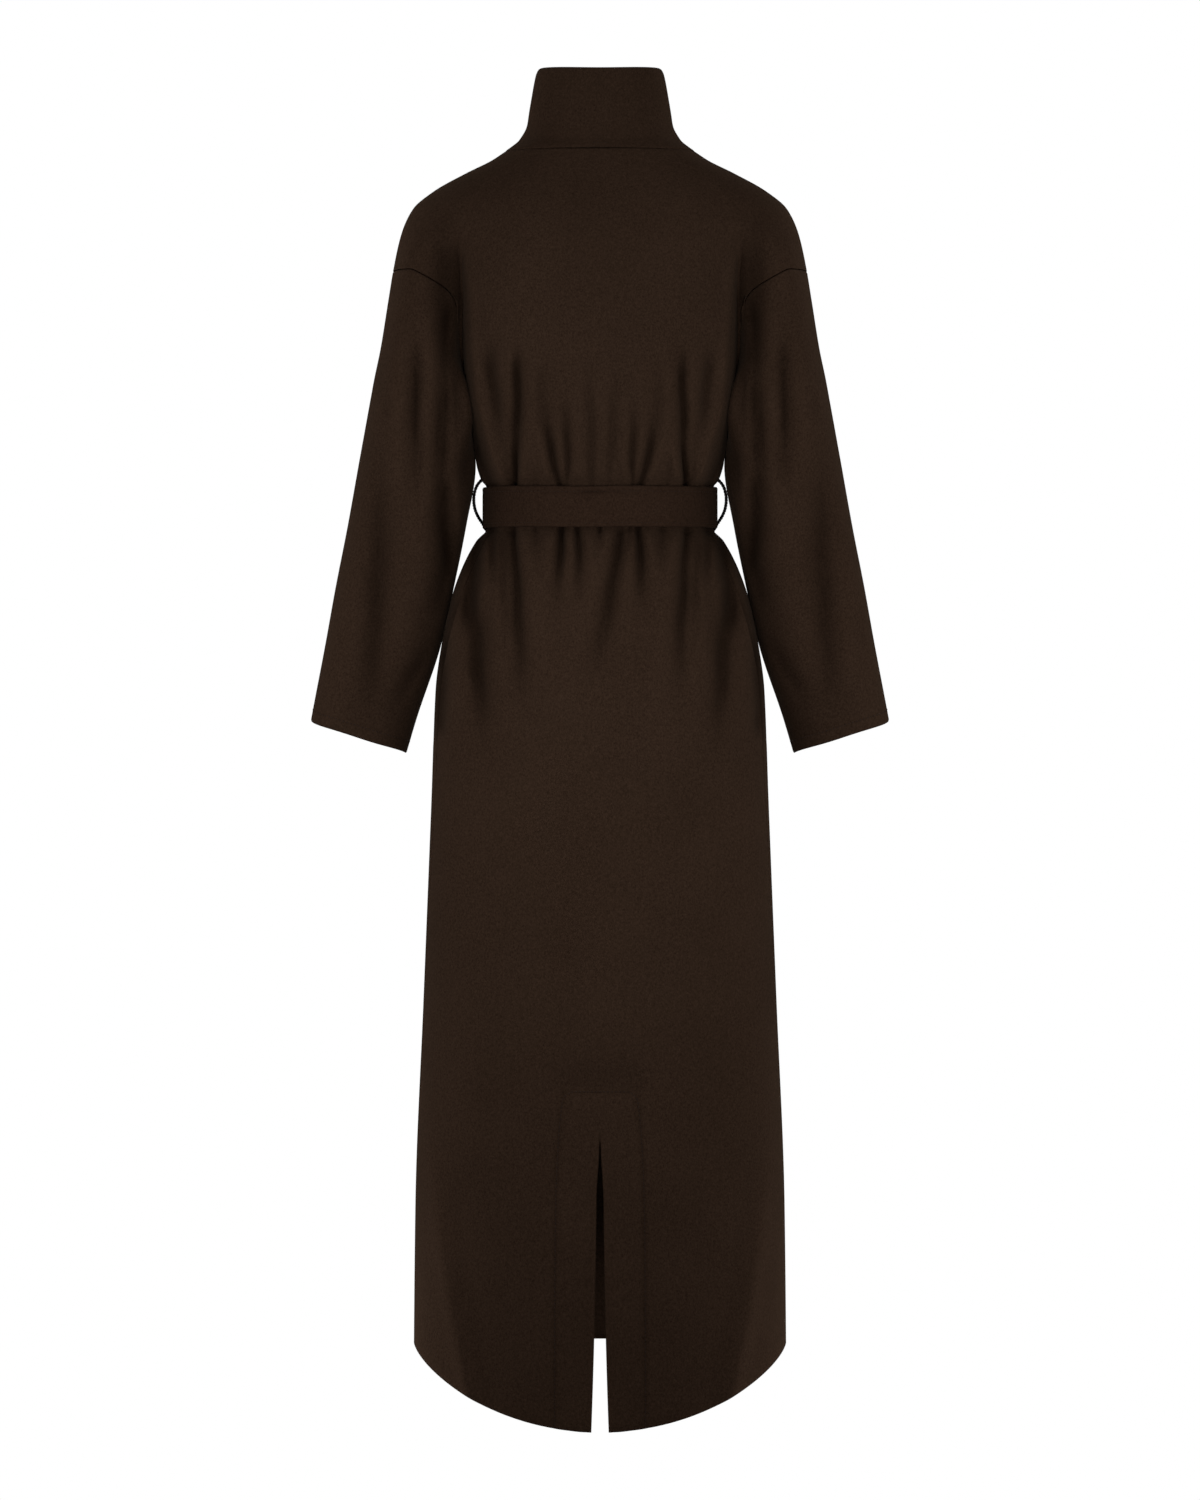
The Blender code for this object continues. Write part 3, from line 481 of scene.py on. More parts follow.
FRONT_PAIRED = table(
    Crease,
    (0.083, -0.198, 0.0865, -0.352, -0.001, 0.0072, 0.005, 0.01, 0.35, 0.06),
    (0.108, -0.21, 0.101, -0.305, 0.0, 0.0085, 0.0085, 0.0058, 0.45, 0.5),
    (0.135, -0.212, 0.089, -0.35, 0.004, 0.0095, 0.006, -0.0052, 0.35, 0.1, 0.1),
    (0.089, -0.374, 0.079, -0.575, -0.002, 0.0052, 0.0105, 0.01, 0.08, 0.45),
    (0.113, -0.378, 0.126, -0.615, 0.011, 0.0075, 0.0105, 0.0098, 0.1, 0.38, 0.15),
    (0.146, -0.96, 0.15, -1.21, 0.002, 0.02, 0.019, 0.0032, 0.6, 0.4),
)
FRONT_SINGLE = table(
    Crease,
    (0.048, -0.268, 0.042, -0.352, 0.001, 0.0065, 0.005, 0.0064, 0.7, 0.1),
    (-0.052, -0.255, -0.04, -0.352, 0.001, 0.0065, 0.005, 0.007, 0.7, 0.1),
    (0.05, -0.374, 0.056, -0.455, 0.0, 0.0048, 0.0085, 0.0062, 0.12, 0.75),
    (-0.048, -0.374, -0.057, -0.47, 0.0, 0.0048, 0.0085, 0.0068, 0.12, 0.75),
    (-0.03, -0.7, -0.042, -1.15, 0.004, 0.022, 0.026, 0.0026, 0.55, 0.45),
)
# Creases of the sleeves by distance from the centre line, behind and in front, which start on the shoulder
SLEEVE_BACK = table(
    Crease,
    (0.161, -0.05, 0.159, -0.205, -0.002, 0.019, 0.017, 0.0064, 0.45, 0.35, 0.05),
    (0.152, -0.15, 0.16, -0.25, 0.001, 0.008, 0.0085, 0.0088, 0.3, 0.35),
    (0.1575, -0.218, 0.162, -0.34, 0.0, 0.008, 0.0085, 0.015, 0.35, 0.3),
    (0.162, -0.31, 0.152, -0.45, 0.001, 0.0085, 0.011, 0.0138, 0.3, 0.3),
    (0.156, -0.412, 0.166, -0.482, 0.0, 0.0095, 0.0095, 0.006, 0.45, 0.45),
    (0.169, -0.492, 0.214, -0.58, 0.0, 0.0085, 0.013, 0.0062, 0.4, 0.55, 0.05),
    (0.1465, -0.212, 0.1465, -0.312, -0.0015, 0.004, 0.0042, 0.005),
    (0.142, -0.318, 0.1395, -0.41, 0.0, 0.006, 0.0065, -0.0045, 0.4, 0.4, 0.0),
    (0.1848, -0.172, 0.1838, -0.388, 0.0006, 0.009, 0.01, 0.012, 0.3, 0.5),
    (0.1735, -0.225, 0.173, -0.4, 0.0, 0.0058, 0.007, -0.0034, 0.45, 0.5, 0.1),
    (0.2092, -0.238, 0.2225, -0.29, 0.0, 0.0038, 0.005, 0.004),
    (0.2225, -0.29, 0.232, -0.595, 0.0, 0.0105, 0.0165, 0.0072, 0.35, 0.3, 0.2),
    (0.26, -0.44, 0.27, -0.565, 0.0, 0.011, 0.012, 0.0022),
)
SLEEVE_FRONT = table(
    Crease,
    (0.152, -0.165, 0.164, -0.325, 0.001, 0.008, 0.008, 0.01, 0.35, 0.45),
    (0.165, -0.285, 0.158, -0.45, -0.001, 0.0085, 0.01, 0.0085, 0.4, 0.55),
    (0.188, -0.15, 0.186, -0.285, 0.001, 0.01, 0.01, 0.006),
    (0.208, -0.33, 0.19, -0.43, 0.006, 0.0075, 0.0085, 0.0056),
    (0.22, -0.36, 0.2, -0.465, 0.006, 0.0075, 0.0085, 0.0048),
    (0.235, -0.4, 0.25, -0.56, 0.0, 0.013, 0.015, 0.0038),
)


def paired(creases: Sequence[Crease], depth: float, drop: float) -> tuple[Crease, ...]:
    """Creases on both halves of a panel, those of the second half changed in depth and dropped a little."""
    return tuple(creases) + tuple(crease.mirrored().varied(depth, drop) for crease in creases)


BACK_CREASES = paired(BACK_PAIRED, depth=0.94, drop=0.002) + BACK_SINGLE
FRONT_CREASES = paired(FRONT_PAIRED, depth=1.06, drop=-0.003) + FRONT_SINGLE


def ease(value: Array) -> Array:
    """A soft step from 0 to 1."""
    part = np.clip(value, 0, 1)
    return part * part * (3 - 2 * part)


def bell(value: Array, centre: Reals = 0.0, wide: Reals = 1.0) -> Array:
    """A soft hump of height 1 about a centre."""
    return np.exp(-((value - centre) / wide) ** 2)


def between(start: Reals, end: Reals, part: Reals) -> Reals:
    """The value at a share of the way from a start to an end."""
    return start + (end - start) * part


def unit(vectors: Array) -> Array:
    """The same directions with a length of 1."""
    return vectors / np.maximum(np.linalg.norm(vectors, axis=-1, keepdims=True), TINY_LENGTH)


def moved(x: Array, y: Array, along: tuple[Array, Array], step: Reals) -> tuple[Array, Array]:
    """Moves points of a plan some way along a direction, which may be of any length."""
    size = np.maximum(np.hypot(*along), TINY)
    return x + step * along[0] / size, y + step * along[1] / size


def soft_drift(x: Array, y: Array, z: Array) -> Array:
    """The slight unevenness of cloth that hangs free.

    Args:
        x: Places across.
        y: Places from front to back.
        z: Heights.

    Returns:
        The inward push at each place.
    """
    slow = np.sin(31 * x + 9 * z + 0.7) * np.sin(17 * z - 12 * x + 1.1 + 8 * y)
    quick = np.sin(67 * x - 21 * z + 2.0) * np.sin(38 * z + 25 * x + 5 * y)
    return S.drift_slow * slow + S.drift_quick * quick


def oval(angle: Array, half_x: Array, half_y: Array, power: Array) -> tuple[Array, Array]:
    """A point on a squared oval.

    Args:
        angle: Polar angle from +Y towards +X.
        half_x: Half the breadth.
        half_y: Half the depth.
        power: Squareness, 2 for an ellipse.

    Returns:
        The X and Y of the point.
    """
    sine = np.sin(angle)
    cosine = np.cos(angle)
    reach = ((np.abs(sine) / half_x) ** power + (np.abs(cosine) / half_y) ** power) ** (-1 / power)
    return reach * sine, reach * cosine


def oval_edge(across: Array, half_x: Array, half_y: Array, power: Array) -> Array:
    """The depth of a squared oval at a distance across it."""
    return half_y * (1 - np.clip(np.abs(across) / half_x, 0, 1) ** power) ** (1 / power)


class Profile:
    """A smooth curve through one column of a table, by height, that stays between its rows."""

    def __init__(self, rows: Sequence, column: str) -> None:
        """Fits the curve.

        Args:
            rows: Table rows with a level.
            column: The column to follow.
        """
        ordered = sorted(rows, key=lambda row: row.level)
        self.heights = np.array([row.level for row in ordered])
        self.values = np.array([getattr(row, column) for row in ordered])
        self.steps = np.diff(self.heights)
        rises = np.diff(self.values) / self.steps
        product = rises[:-1] * rises[1:]
        total = rises[:-1] + rises[1:]
        inner = np.where(product > 0, 2 * product / np.where(total == 0, 1, total), 0)
        self.slopes = np.concatenate((rises[:1], inner, rises[-1:]))

    def __call__(self, height: Array) -> Array:
        """The column's value at a height.

        Args:
            height: Heights in metres.

        Returns:
            The values there.
        """
        place = np.clip(np.searchsorted(self.heights, height) - 1, 0, len(self.steps) - 1)
        part = np.clip((height - self.heights[place]) / self.steps[place], 0, 1)
        start = (1 + 2 * part) * (1 - part) ** 2 * self.values[place]
        end = part ** 2 * (3 - 2 * part) * self.values[place + 1]
        lean = part * (1 - part) ** 2 * self.slopes[place] - part ** 2 * (1 - part) * self.slopes[place + 1]
        return start + end + lean * self.steps[place]


HALVINGS = 30


class CoatForm:
    """The outside of the coat as functions of place and height."""

    def __init__(self) -> None:
        """Fits the profiles of the tables."""
        self.half_width = Profile(SECTIONS, "half_width")
        self.back_depth = Profile(SECTIONS, "back_depth")
        self.front_depth = Profile(SECTIONS, "front_depth")
        self.squareness = Profile(SECTIONS, "squareness")
        self.arm_outer = Profile(ARM_SECTIONS, "outer")
        self.arm_inner = Profile(ARM_SECTIONS, "inner")
        self.arm_depth = Profile(ARM_SECTIONS, "depth")
        self.arm_fold = Profile(ARM_SECTIONS, "fold")
        self.arm_forward = Profile(ARM_SECTIONS, "forward")
        self.seam_behind = Profile(SIDE_SEAM, "behind")
        self.collar_width = Profile(COLLAR_RINGS, "half_width")
        self.collar_back = Profile(COLLAR_RINGS, "back_depth")
        self.collar_front = Profile(COLLAR_RINGS, "front_depth")

    def front_share(self, z: Array) -> Array:
        """How deep the shoulder and sleeve are in front for each unit of depth behind."""
        level = np.maximum(z, S.underarm)
        return self.front_depth(level) / self.back_depth(level)

    @staticmethod
    def gathers(x: Array, y: Array, z: Array) -> Array:
        """How far the belt's gathers draw in the body, those behind fading into those in front.

        Args:
            x: Places across the body.
            y: Places from front to back.
            z: Heights.

        Returns:
            The inward push at each place.
        """
        behind = ease(0.5 + y / S.side_fade)
        back = sum(fold.push(x, z) for fold in BACK_GATHERS)
        return behind * back + (1 - behind) * sum(fold.push(x, z) for fold in FRONT_GATHERS)

    @staticmethod
    def creases(x: Array, y: Array, z: Array) -> Array:
        """How far the body's creases sink straight in, none at the sides and no ridge under the belt.

        Args:
            x: Places across the body.
            y: Places from front to back.
            z: Heights.

        Returns:
            The push towards the middle plane at each place.
        """
        back = sum(crease.push(x, z) for crease in BACK_CREASES)
        front = sum(crease.push(x, z) for crease in FRONT_CREASES)
        push = ease(np.abs(y) / S.crease_fade) * (np.where(y > 0, back, front) + soft_drift(x, y, z))
        held = ease((z - S.belt_bottom) / S.belt_free + 1) * ease((S.belt_top - z) / S.belt_free + 1)
        return np.where(push < 0, push * (1 - held), push)

    def arm_creases(self, x: Array, y: Array, z: Array, hand: Array) -> Array:
        """How far the creases of the shoulders and sleeves sink straight in.

        Args:
            x: Distances from the centre line.
            y: Places from front to back.
            z: Heights.
            hand: The sign of the side.

        Returns:
            The push towards the sleeve's middle plane at each place.
        """
        away = y + self.arm_forward(z)
        push = soft_drift(x, y, z)
        for sign, share, drop in ((1.0, 1.0, 0.0), (-1.0, S.arm_twin_share, S.arm_twin_drop)):
            back = sum(crease.varied(share, drop).push(x, z) for crease in SLEEVE_BACK)
            front = sum(crease.varied(2 - share, -drop).push(x, z) for crease in SLEEVE_FRONT)
            push = push + np.where(hand == sign, np.where(away > 0, back, front), 0)
        return ease(np.abs(away) / S.arm_fade) * push

    def body_push(self, reach: Array, x: Array, y: Array, z: Array) -> Array:
        """How far a body panel's creases sink straight in, those of the sleeve past the arm fold.

        Args:
            reach: Places from the centre.
            x: Places across the body.
            y: Places from front to back.
            z: Heights.

        Returns:
            The push towards the middle plane at each place.
        """
        notch = np.maximum(self.notch(z), S.notch_least)
        past = np.where(z > S.underarm, ease((reach - 1 + notch) / (2 * notch)), 0)
        arm = self.arm_creases(np.abs(x), y, z, np.where(x < 0, -1.0, 1.0))
        return self.creases(x, y, z) * (1 - past) + arm * past

    def torso(self, angle: Array, z: Array) -> tuple[Array, Array]:
        """Plan of the torso and skirt, by angle from the centre back."""
        depth = np.where(np.cos(angle) >= 0, self.back_depth(z), self.front_depth(z))
        return oval(angle, self.half_width(z), depth, self.squareness(z))

    def join_shoulder(self, x: Array, y: Array, z: Array, facing: Array) -> tuple[Array, Array]:
        """Closes the arm fold towards the top of the shoulder and turns the plan to the back or the front.

        Args:
            x: Plan X of the torso or the sleeve.
            y: Plan depth.
            z: Heights.
            facing: 1 behind and -1 in front.

        Returns:
            The X and Y of the joined plan.
        """
        split = ease((S.split_start - z) / (S.split_start - S.split_full))
        whole = oval_edge(x, self.arm_outer(z), self.back_depth(z), S.shoulder_squareness)
        share = np.where(facing > 0, 1, self.front_share(z))
        return x, facing * share * between(whole, y, split) - self.arm_forward(z)

    def lobe(self, place: Array, z: Array, facing: Array) -> tuple[Array, Array]:
        """Plan of the shoulder and sleeve from the arm fold to the outer edge.

        Args:
            place: 0 in the fold and 1 at the outer edge.
            z: Heights.
            facing: 1 behind and -1 in front.

        Returns:
            The X and Y of the plan.
        """
        middle = (self.arm_inner(z) + self.arm_outer(z)) / 2
        half = (self.arm_outer(z) - self.arm_inner(z)) / 2
        depth = self.arm_depth(z)
        fold = self.arm_fold(z)
        low = ease((S.cuff_square_top - z) / S.cuff_square_run)
        power = between(S.arm_squareness, S.cuff_squareness, low)
        fold_x = middle - oval_edge(fold, depth, half, power)
        start = np.arctan2(fold_x - middle, fold)
        x, y = oval(between(start, pi / 2, place), half, depth, power)
        return self.join_shoulder(middle + x, y, z, facing)

    def upper(self, place: Array, z: Array, facing: float) -> tuple[Array, Array]:
        """Plan above the underarm.

        Args:
            place: 0 at the centre, 1 in the arm fold and 2 on the shoulder ridge.
            z: Heights.
            facing: 1 behind and -1 in front.

        Returns:
            The X and Y of the plan.
        """
        notch = self.notch(z)
        depth = self.back_depth(z)
        fold = self.arm_fold(z)
        fold_x = oval_edge(fold, depth, self.half_width(z), self.squareness(z))
        turn = np.arctan2(fold_x, fold) * np.clip(place / (1 - notch), 0, 1)
        x, y = oval(turn, self.half_width(z), depth, self.squareness(z))
        x, y = self.join_shoulder(x, y, z, facing)
        lobe_x, lobe_y = self.lobe(np.clip((place - 1 - notch) / (1 - notch), 0, 1), z, facing)
        mix = 1 - (1 - np.clip((place - 1 + notch) / np.maximum(2 * notch, TINY), 0, 1)) ** 2
        return between(x, lobe_x, mix), between(y, lobe_y, mix)

    @staticmethod
    def notch(z: Array) -> Array:
        """Half the breadth of the bottom of the arm fold, as a place on the section."""
        return S.fold_notch * ease((z - S.underarm) / S.notch_run)

    @staticmethod
    def slit_gap(z: Array) -> Array:
        """How far the slit stands open at a height."""
        part = np.clip((S.slit_top - z) / (S.slit_top - S.hem_side + S.hem_back_drop), 0, 1)
        return S.slit_gap_upper * ease(part / S.slit_open_share) + S.slit_gap_lower * part ** 2

    def pressed(self, x: Array, y: Array, z: Array, push: Array) -> tuple[Array, Array]:
        """Moves points of the plan inwards across the oval section."""
        return moved(x, y, (x / self.half_width(z) ** 2, y / self.back_depth(z) ** 2), -push)

    def back_shape(self, place: Array, z: Array) -> tuple[Array, Array]:
        """The outside of the back and how far it is drawn in.

        Args:
            place: 0 at the centre, 1 at the side and 2 on the shoulder ridge, negative on the right.
            z: Heights.

        Returns:
            The points and the push at each.
        """
        hand = np.where(place < 0, -1.0, 1.0)
        reach = np.abs(place)
        low_x, low_y = self.torso(reach * pi / 2 * (1 - self.seam_behind(z)), z)
        high_x, high_y = self.upper(reach, z, 1.0)
        x = hand * np.where(z > S.underarm, high_x, low_x)
        y = np.where(z > S.underarm, high_y, low_y)
        gathers = self.gathers(x, y, z)
        push = self.body_push(reach, x, y, z)
        x, y = self.pressed(x, y, z, gathers - FACING.lift(x, z))
        x = x + hand * self.slit_gap(z) / 2 * np.clip(1 - np.abs(x) / S.slit_spread, 0, 1)
        return np.stack((x, y - push + S.seam_gap / 2, z), axis=-1), gathers + push

    @staticmethod
    def side_fold(reach: Array, z: Array) -> Array:
        """How far a front sinks behind the edge of the back at the hip."""
        run = ease((S.tuck_top - z) / S.tuck_top_run) * ease((z - S.tuck_low) / S.tuck_low_run)
        return S.side_tuck * np.clip((reach - S.tuck_edge) / (1 - S.tuck_edge), 0, 1) * run

    def wrap_place(self, z: Array) -> Array:
        """How far a front reaches past the centre front, as a place on the section."""
        reach = np.interp(z, (S.hem_side, S.belt_top, 0.0), (S.wrap_hem, S.wrap_waist, S.wrap_neck))
        return np.arctan2(reach, self.front_depth(z)) / (pi / 2)

    @staticmethod
    def over_lift(z: Array) -> Array:
        """How far the upper front stands off the lower one, more where the neck slopes."""
        slope = ease((z - S.split_full) / (S.split_start - S.split_full))
        return (S.cloth + S.layer_gap) * (1 + S.neck_lift * slope)

    def wrap_lift(self, place: Array, z: Array) -> Array:
        """How far the upper layer of the wrap is lifted, none past the lower layer's edge."""
        room = self.wrap_place(z) + S.wrap_ease - place
        return self.over_lift(z) * ease(room / (S.wrap_ease * S.wrap_run))

    def front_shape(self, place: Array, z: Array, hand: float, over: float) -> tuple[Array, Array]:
        """The outside of a front and how far it is drawn in.

        Args:
            place: 0 at the centre front, 1 at the side and 2 on the shoulder ridge.
            z: Heights.
            hand: The sign of the front's side.
            over: 1 for the front that lies on top, else 0.

        Returns:
            The points, and at each the push with the painted shade beside the side seam.
        """
        sign = np.where(place < 0, -1.0, 1.0)
        reach = np.abs(place)
        spread = ease((reach - S.wrap_clear) / (1 - S.wrap_clear))
        low_x, low_y = self.torso(pi - reach * pi / 2 * (1 + self.seam_behind(z) * spread), z)
        high_x, high_y = self.upper(reach, z, -1.0)
        x = hand * sign * np.where(z > S.underarm, high_x, low_x)
        y = np.where(z > S.underarm, high_y, low_y)
        lift = over * self.wrap_lift(place, z)
        gathers = self.gathers(x, y, z)
        push = self.body_push(reach, x, y, z)
        tuck = self.side_fold(reach, z)
        turn = np.where(y > 0, -1.0, 1.0)
        x, y = self.pressed(x, y, z, gathers + tuck - lift)
        points = np.stack((x, y + turn * push - S.seam_gap / 2, z), axis=-1)
        # The side fold also gets painted shade beside the side seam
        return points, gathers + push + S.tuck_shade * tuck

    def sleeve_shape(self, place: Array, z: Array, side: Side) -> tuple[Array, Array]:
        """The outside of a sleeve, which rests on the side of the body, and how far it is drawn in.

        Args:
            place: 0 at the inner seam, 1 at the outer edge and 2 at the seam again, behind first.
            z: Heights.
            side: Which sleeve.

        Returns:
            The points and the push at each.
        """
        facing = np.where(place <= 1, 1.0, -1.0)
        x, y = self.lobe(np.where(place <= 1, place, 2 - place), z, facing)
        push = self.arm_creases(x, y, z, side.value + 0 * x)
        bend = np.zeros_like(x)
        for row in SLEEVE_BENDS:
            part = np.clip((row.z_top - z) / (row.z_top - row.z_low), 0, 1)
            centre = between(row.place_top, row.place_low, part)
            bend = bend + row.depth * np.sin(pi * part) ** 2 * bell(place, centre, row.wide)
        away_x = x - (self.arm_inner(z) + self.arm_outer(z)) / 2
        away_y = y + self.arm_forward(z)
        x, y = moved(x, y, (away_x, away_y), -bend)
        y = y - np.where(away_y > 0, 1.0, -1.0) * push
        depth = np.where(y >= 0, self.back_depth(z), self.front_depth(z))
        wall = oval_edge(y, depth, self.half_width(z), self.squareness(z)) + S.side_rest
        x = np.where(z < S.underarm, np.maximum(x, wall), x)
        return np.stack((side.value * x, y, z), axis=-1), push + np.maximum(bend, 0)

    @staticmethod
    def armhole_level(place: Array) -> Array:
        """Height of the armhole seam from the underarm (0) to the outer edge of the shoulder (1)."""
        rise = S.armhole_rise * np.clip(1 - place / S.armhole_turn, 0, 1) ** S.armhole_curve
        return S.shoulder_seam - rise - S.armhole_dip * (1 - place) ** S.armhole_hook

    @staticmethod
    def armhole_gap(place: Array) -> Array:
        """How far the seam's two edges stand apart in height, more where the seam is steep."""
        return S.seam_gap * (1 + S.armhole_clear * (1 - place) ** S.armhole_hook)

    def armhole_start(self, reach: Array) -> Array:
        """Height of a body panel's armhole edge, where it meets the sleeve's top.

        Args:
            reach: Places past the arm fold.

        Returns:
            The heights.
        """
        low = np.full_like(reach, S.underarm)
        high = np.full_like(reach, S.shoulder_seam)
        for _ in range(HALVINGS):
            middle = (low + high) / 2
            notch = self.notch(middle)
            place = np.clip((reach - 1 - notch) / (1 - notch), 0, 1)
            above = self.armhole_level(place) + self.armhole_gap(place) / 2 > middle
            low = np.where(above, middle, low)
            high = np.where(above, high, middle)
        return (low + high) / 2

    def neck_level(self, place: Array, facing: float) -> Array:
        """Height of the collar seam.

        Args:
            place: Places on the section.
            facing: 1 behind and -1 in front.

        Returns:
            The heights.
        """
        level = np.zeros_like(place)
        if facing > 0:
            return level
        across = self.upper(np.abs(place), level, 1.0)[0] / self.arm_outer(level)
        return level - S.neck_front_drop * np.cos(pi / 2 * np.clip(across, 0, 1)) ** 2

    def collar(self, place: Array, part: Array) -> Array:
        """A point on the outside of the collar.

        Args:
            place: 0 at the centre back and 2 at the centre front, negative on the right.
            part: 0 at the seam and 1 at the top edge.

        Returns:
            The points.
        """
        hand = np.where(place < 0, -1.0, 1.0)
        reach = np.abs(place)
        behind = reach <= 1
        across = np.where(behind, reach * 2, (2 - reach) * 2)
        sign = np.where(across < 0, -1.0, 1.0)
        base = np.where(behind, self.neck_level(across, 1.0), self.neck_level(across, -1.0))
        back_x, back_y = self.upper(np.abs(across), base, 1.0)
        front_x, front_y = self.upper(np.abs(across), base, -1.0)
        base_x = sign * np.where(behind, back_x, front_x)
        base_y = np.where(behind, back_y, front_y)
        angle = np.where(behind, reach * pi / 2, pi - (2 - reach) * pi / 2)
        top = S.collar_top + S.collar_side_rise * np.sin(angle) ** 2
        z = base + S.seam_gap + (top - base - S.seam_gap) * part
        depth = np.where(behind, self.collar_back(z), self.collar_front(z))
        foot_depth = np.where(behind, self.collar_back(base), self.collar_front(base))
        x, y = oval(angle, self.collar_width(z), depth, S.collar_squareness)
        foot_x, foot_y = oval(angle, self.collar_width(base), foot_depth, S.collar_squareness)
        flare = np.clip(1 - (z - base) / S.collar_flare, 0, 1) ** 2
        x = x + (base_x - foot_x) * flare
        y = y + (base_y - foot_y) * flare
        lift = np.where((hand < 0) & ~behind, self.wrap_lift(across, base), 0)
        x, y = moved(x, y, (x, y), lift)
        return np.stack((hand * x, y, z), axis=-1)

    def hem_back(self, columns: Array) -> Array:
        """Height of the curved back hem.

        Args:
            columns: Places from the centre back.

        Returns:
            The heights.
        """
        level = np.full_like(columns, S.hem_side)
        x = self.torso(np.clip(np.abs(columns), 0, 1) * pi / 2, level)[0]
        share = np.clip(x / self.half_width(np.array(S.hem_side)), 0, 1)
        return S.hem_side - S.hem_back_drop * (1 - share ** 2) ** S.hem_curve

    def belt(self, angle: Array, z: Array, lift: Array) -> Array:
        """A point on the belt's inner face or further out.

        Args:
            angle: Angles from the centre back.
            z: Heights.
            lift: How far off the inner face.

        Returns:
            The points.
        """
        hand = np.sign(np.sin(angle))
        turn = np.abs(np.arctan2(np.sin(angle), np.cos(angle)))
        middle = np.full_like(angle, S.belt_middle)
        x, y = self.torso(turn, middle)
        over = (S.cloth + S.layer_gap) * ease((turn / pi - S.belt_over_start) / S.belt_over_run)
        x, y = self.pressed(x, y, middle, -(S.belt_clear + over + lift))
        return np.stack((np.where(hand < 0, -x, x), y, z), axis=-1)

    def front_face(self, x: Array, z: Array, lift: Array) -> Array:
        """A point in front of the outer front.

        Args:
            x: Places across.
            z: Heights.
            lift: How far off the front.

        Returns:
            The points.
        """
        depth = oval_edge(x, self.half_width(z), self.front_depth(z), self.squareness(z))
        base = self.front_shape(-np.arctan2(x, depth) / (pi / 2), z, -1.0, 1.0)[0]
        return base - np.stack((0 * x, lift + 0 * x, 0 * x), axis=-1)

    def back_face(self, x: Array, z: Array) -> Array:
        """A point on the outside of the skirt's back, by distance across and height."""
        depth = oval_edge(x, self.half_width(z), self.back_depth(z), self.squareness(z))
        return self.back_shape(np.arctan2(x, depth) / (pi / 2 * (1 - self.seam_behind(z))), z)[0]


@dataclass(frozen=True)
class FacingMark:
    """How the facing shows outside: its stitched outline, the doubled cloth inside, the dent above, and
    painted shadow along the outline.
    """

    rise: float = 0.0014
    soft: float = 0.006
    corner: float = 0.010
    half_top: float = 0.0362
    spread: float = 0.0091
    spread_run: float = 0.055
    dent: float = 0.0030
    dent_up: float = 0.012
    dent_run: float = 0.011
    dent_half: float = 0.064
    dent_fade: float = 0.036
    roll: float = 0.0008
    roll_run: float = 0.02
    roll_ridge: tuple[float, float] = (0.002, 0.0028)
    roll_trough: tuple[float, float] = (0.0085, 0.0030)
    # Painted shadow along the outline and above its top, for the cloth's material
    line_depth: float = 0.0046
    line_wide: float = 0.0028
    top_share: float = 1.3
    top_wide: float = 0.0034

    def line(self, z: Array) -> Array:
        """Half the breadth of the stitched outline round the slit.

        Args:
            z: Heights.

        Returns:
            The distances from the centre line.
        """
        drop = np.maximum(S.facing_top - z, 0)
        spread = self.half_top + self.spread * (1 - np.exp(-drop / self.spread_run))
        turn = 1 - np.minimum(drop / self.corner, 1)
        return spread - self.corner * (1 - np.sqrt(np.clip(1 - turn ** 2, 0, 1)))

    def lift(self, x: Array, z: Array) -> Array:
        """How far the doubled cloth stands out, less the dent that it leaves above.

        Args:
            x: Places across the back.
            z: Heights.

        Returns:
            The distances outwards.
        """
        across = np.abs(x)
        inside = ease((self.line(z) - across) / self.soft + 0.5)
        below = ease((S.facing_top - z) / self.soft + 0.5)
        dent = bell(z, S.facing_top + self.dent_up, self.dent_run)
        dent = self.dent * dent * ease((self.dent_half - across) / self.dent_fade)
        roll = self.roll * (bell(across, *self.roll_ridge) - bell(across, *self.roll_trough))
        return self.rise * inside * below - dent + roll * ease((S.slit_top - z) / self.roll_run)

    def shade(self, x: Array, z: Array) -> Array:
        """Painted shadow along the outline and above its top, and painted shade in the dent, as a depth for
        the cloth's material.

        Args:
            x: Places across the back.
            z: Heights.

        Returns:
            The depth at each place.
        """
        across = np.abs(x)
        beside = bell(across, self.line(z), self.line_wide) * (z < S.facing_top)
        top_half = self.line(np.full_like(z, S.facing_top - self.corner))
        above = self.top_share * bell(z, S.facing_top, self.top_wide) * (across < top_half)
        return self.line_depth * np.maximum(beside, above) - np.minimum(self.lift(x, z), 0)


FACING = FacingMark()


def belt_shade(z: Array) -> Array:
    """How deep the cloth lies in the belt's shade, for its material."""
    return S.belt_shade * ease((z - S.belt_shade_low) / S.belt_shade_run) * (z < S.belt_middle)


# The mesh attribute that carries painted shade, and the depth that counts as 1 in it
SHADE_ATTRIBUTE = "hollow"
SHADE_DEPTH_UNIT = 0.010
MERGE = 0.00001
FOLD_MARGIN = 0.0001


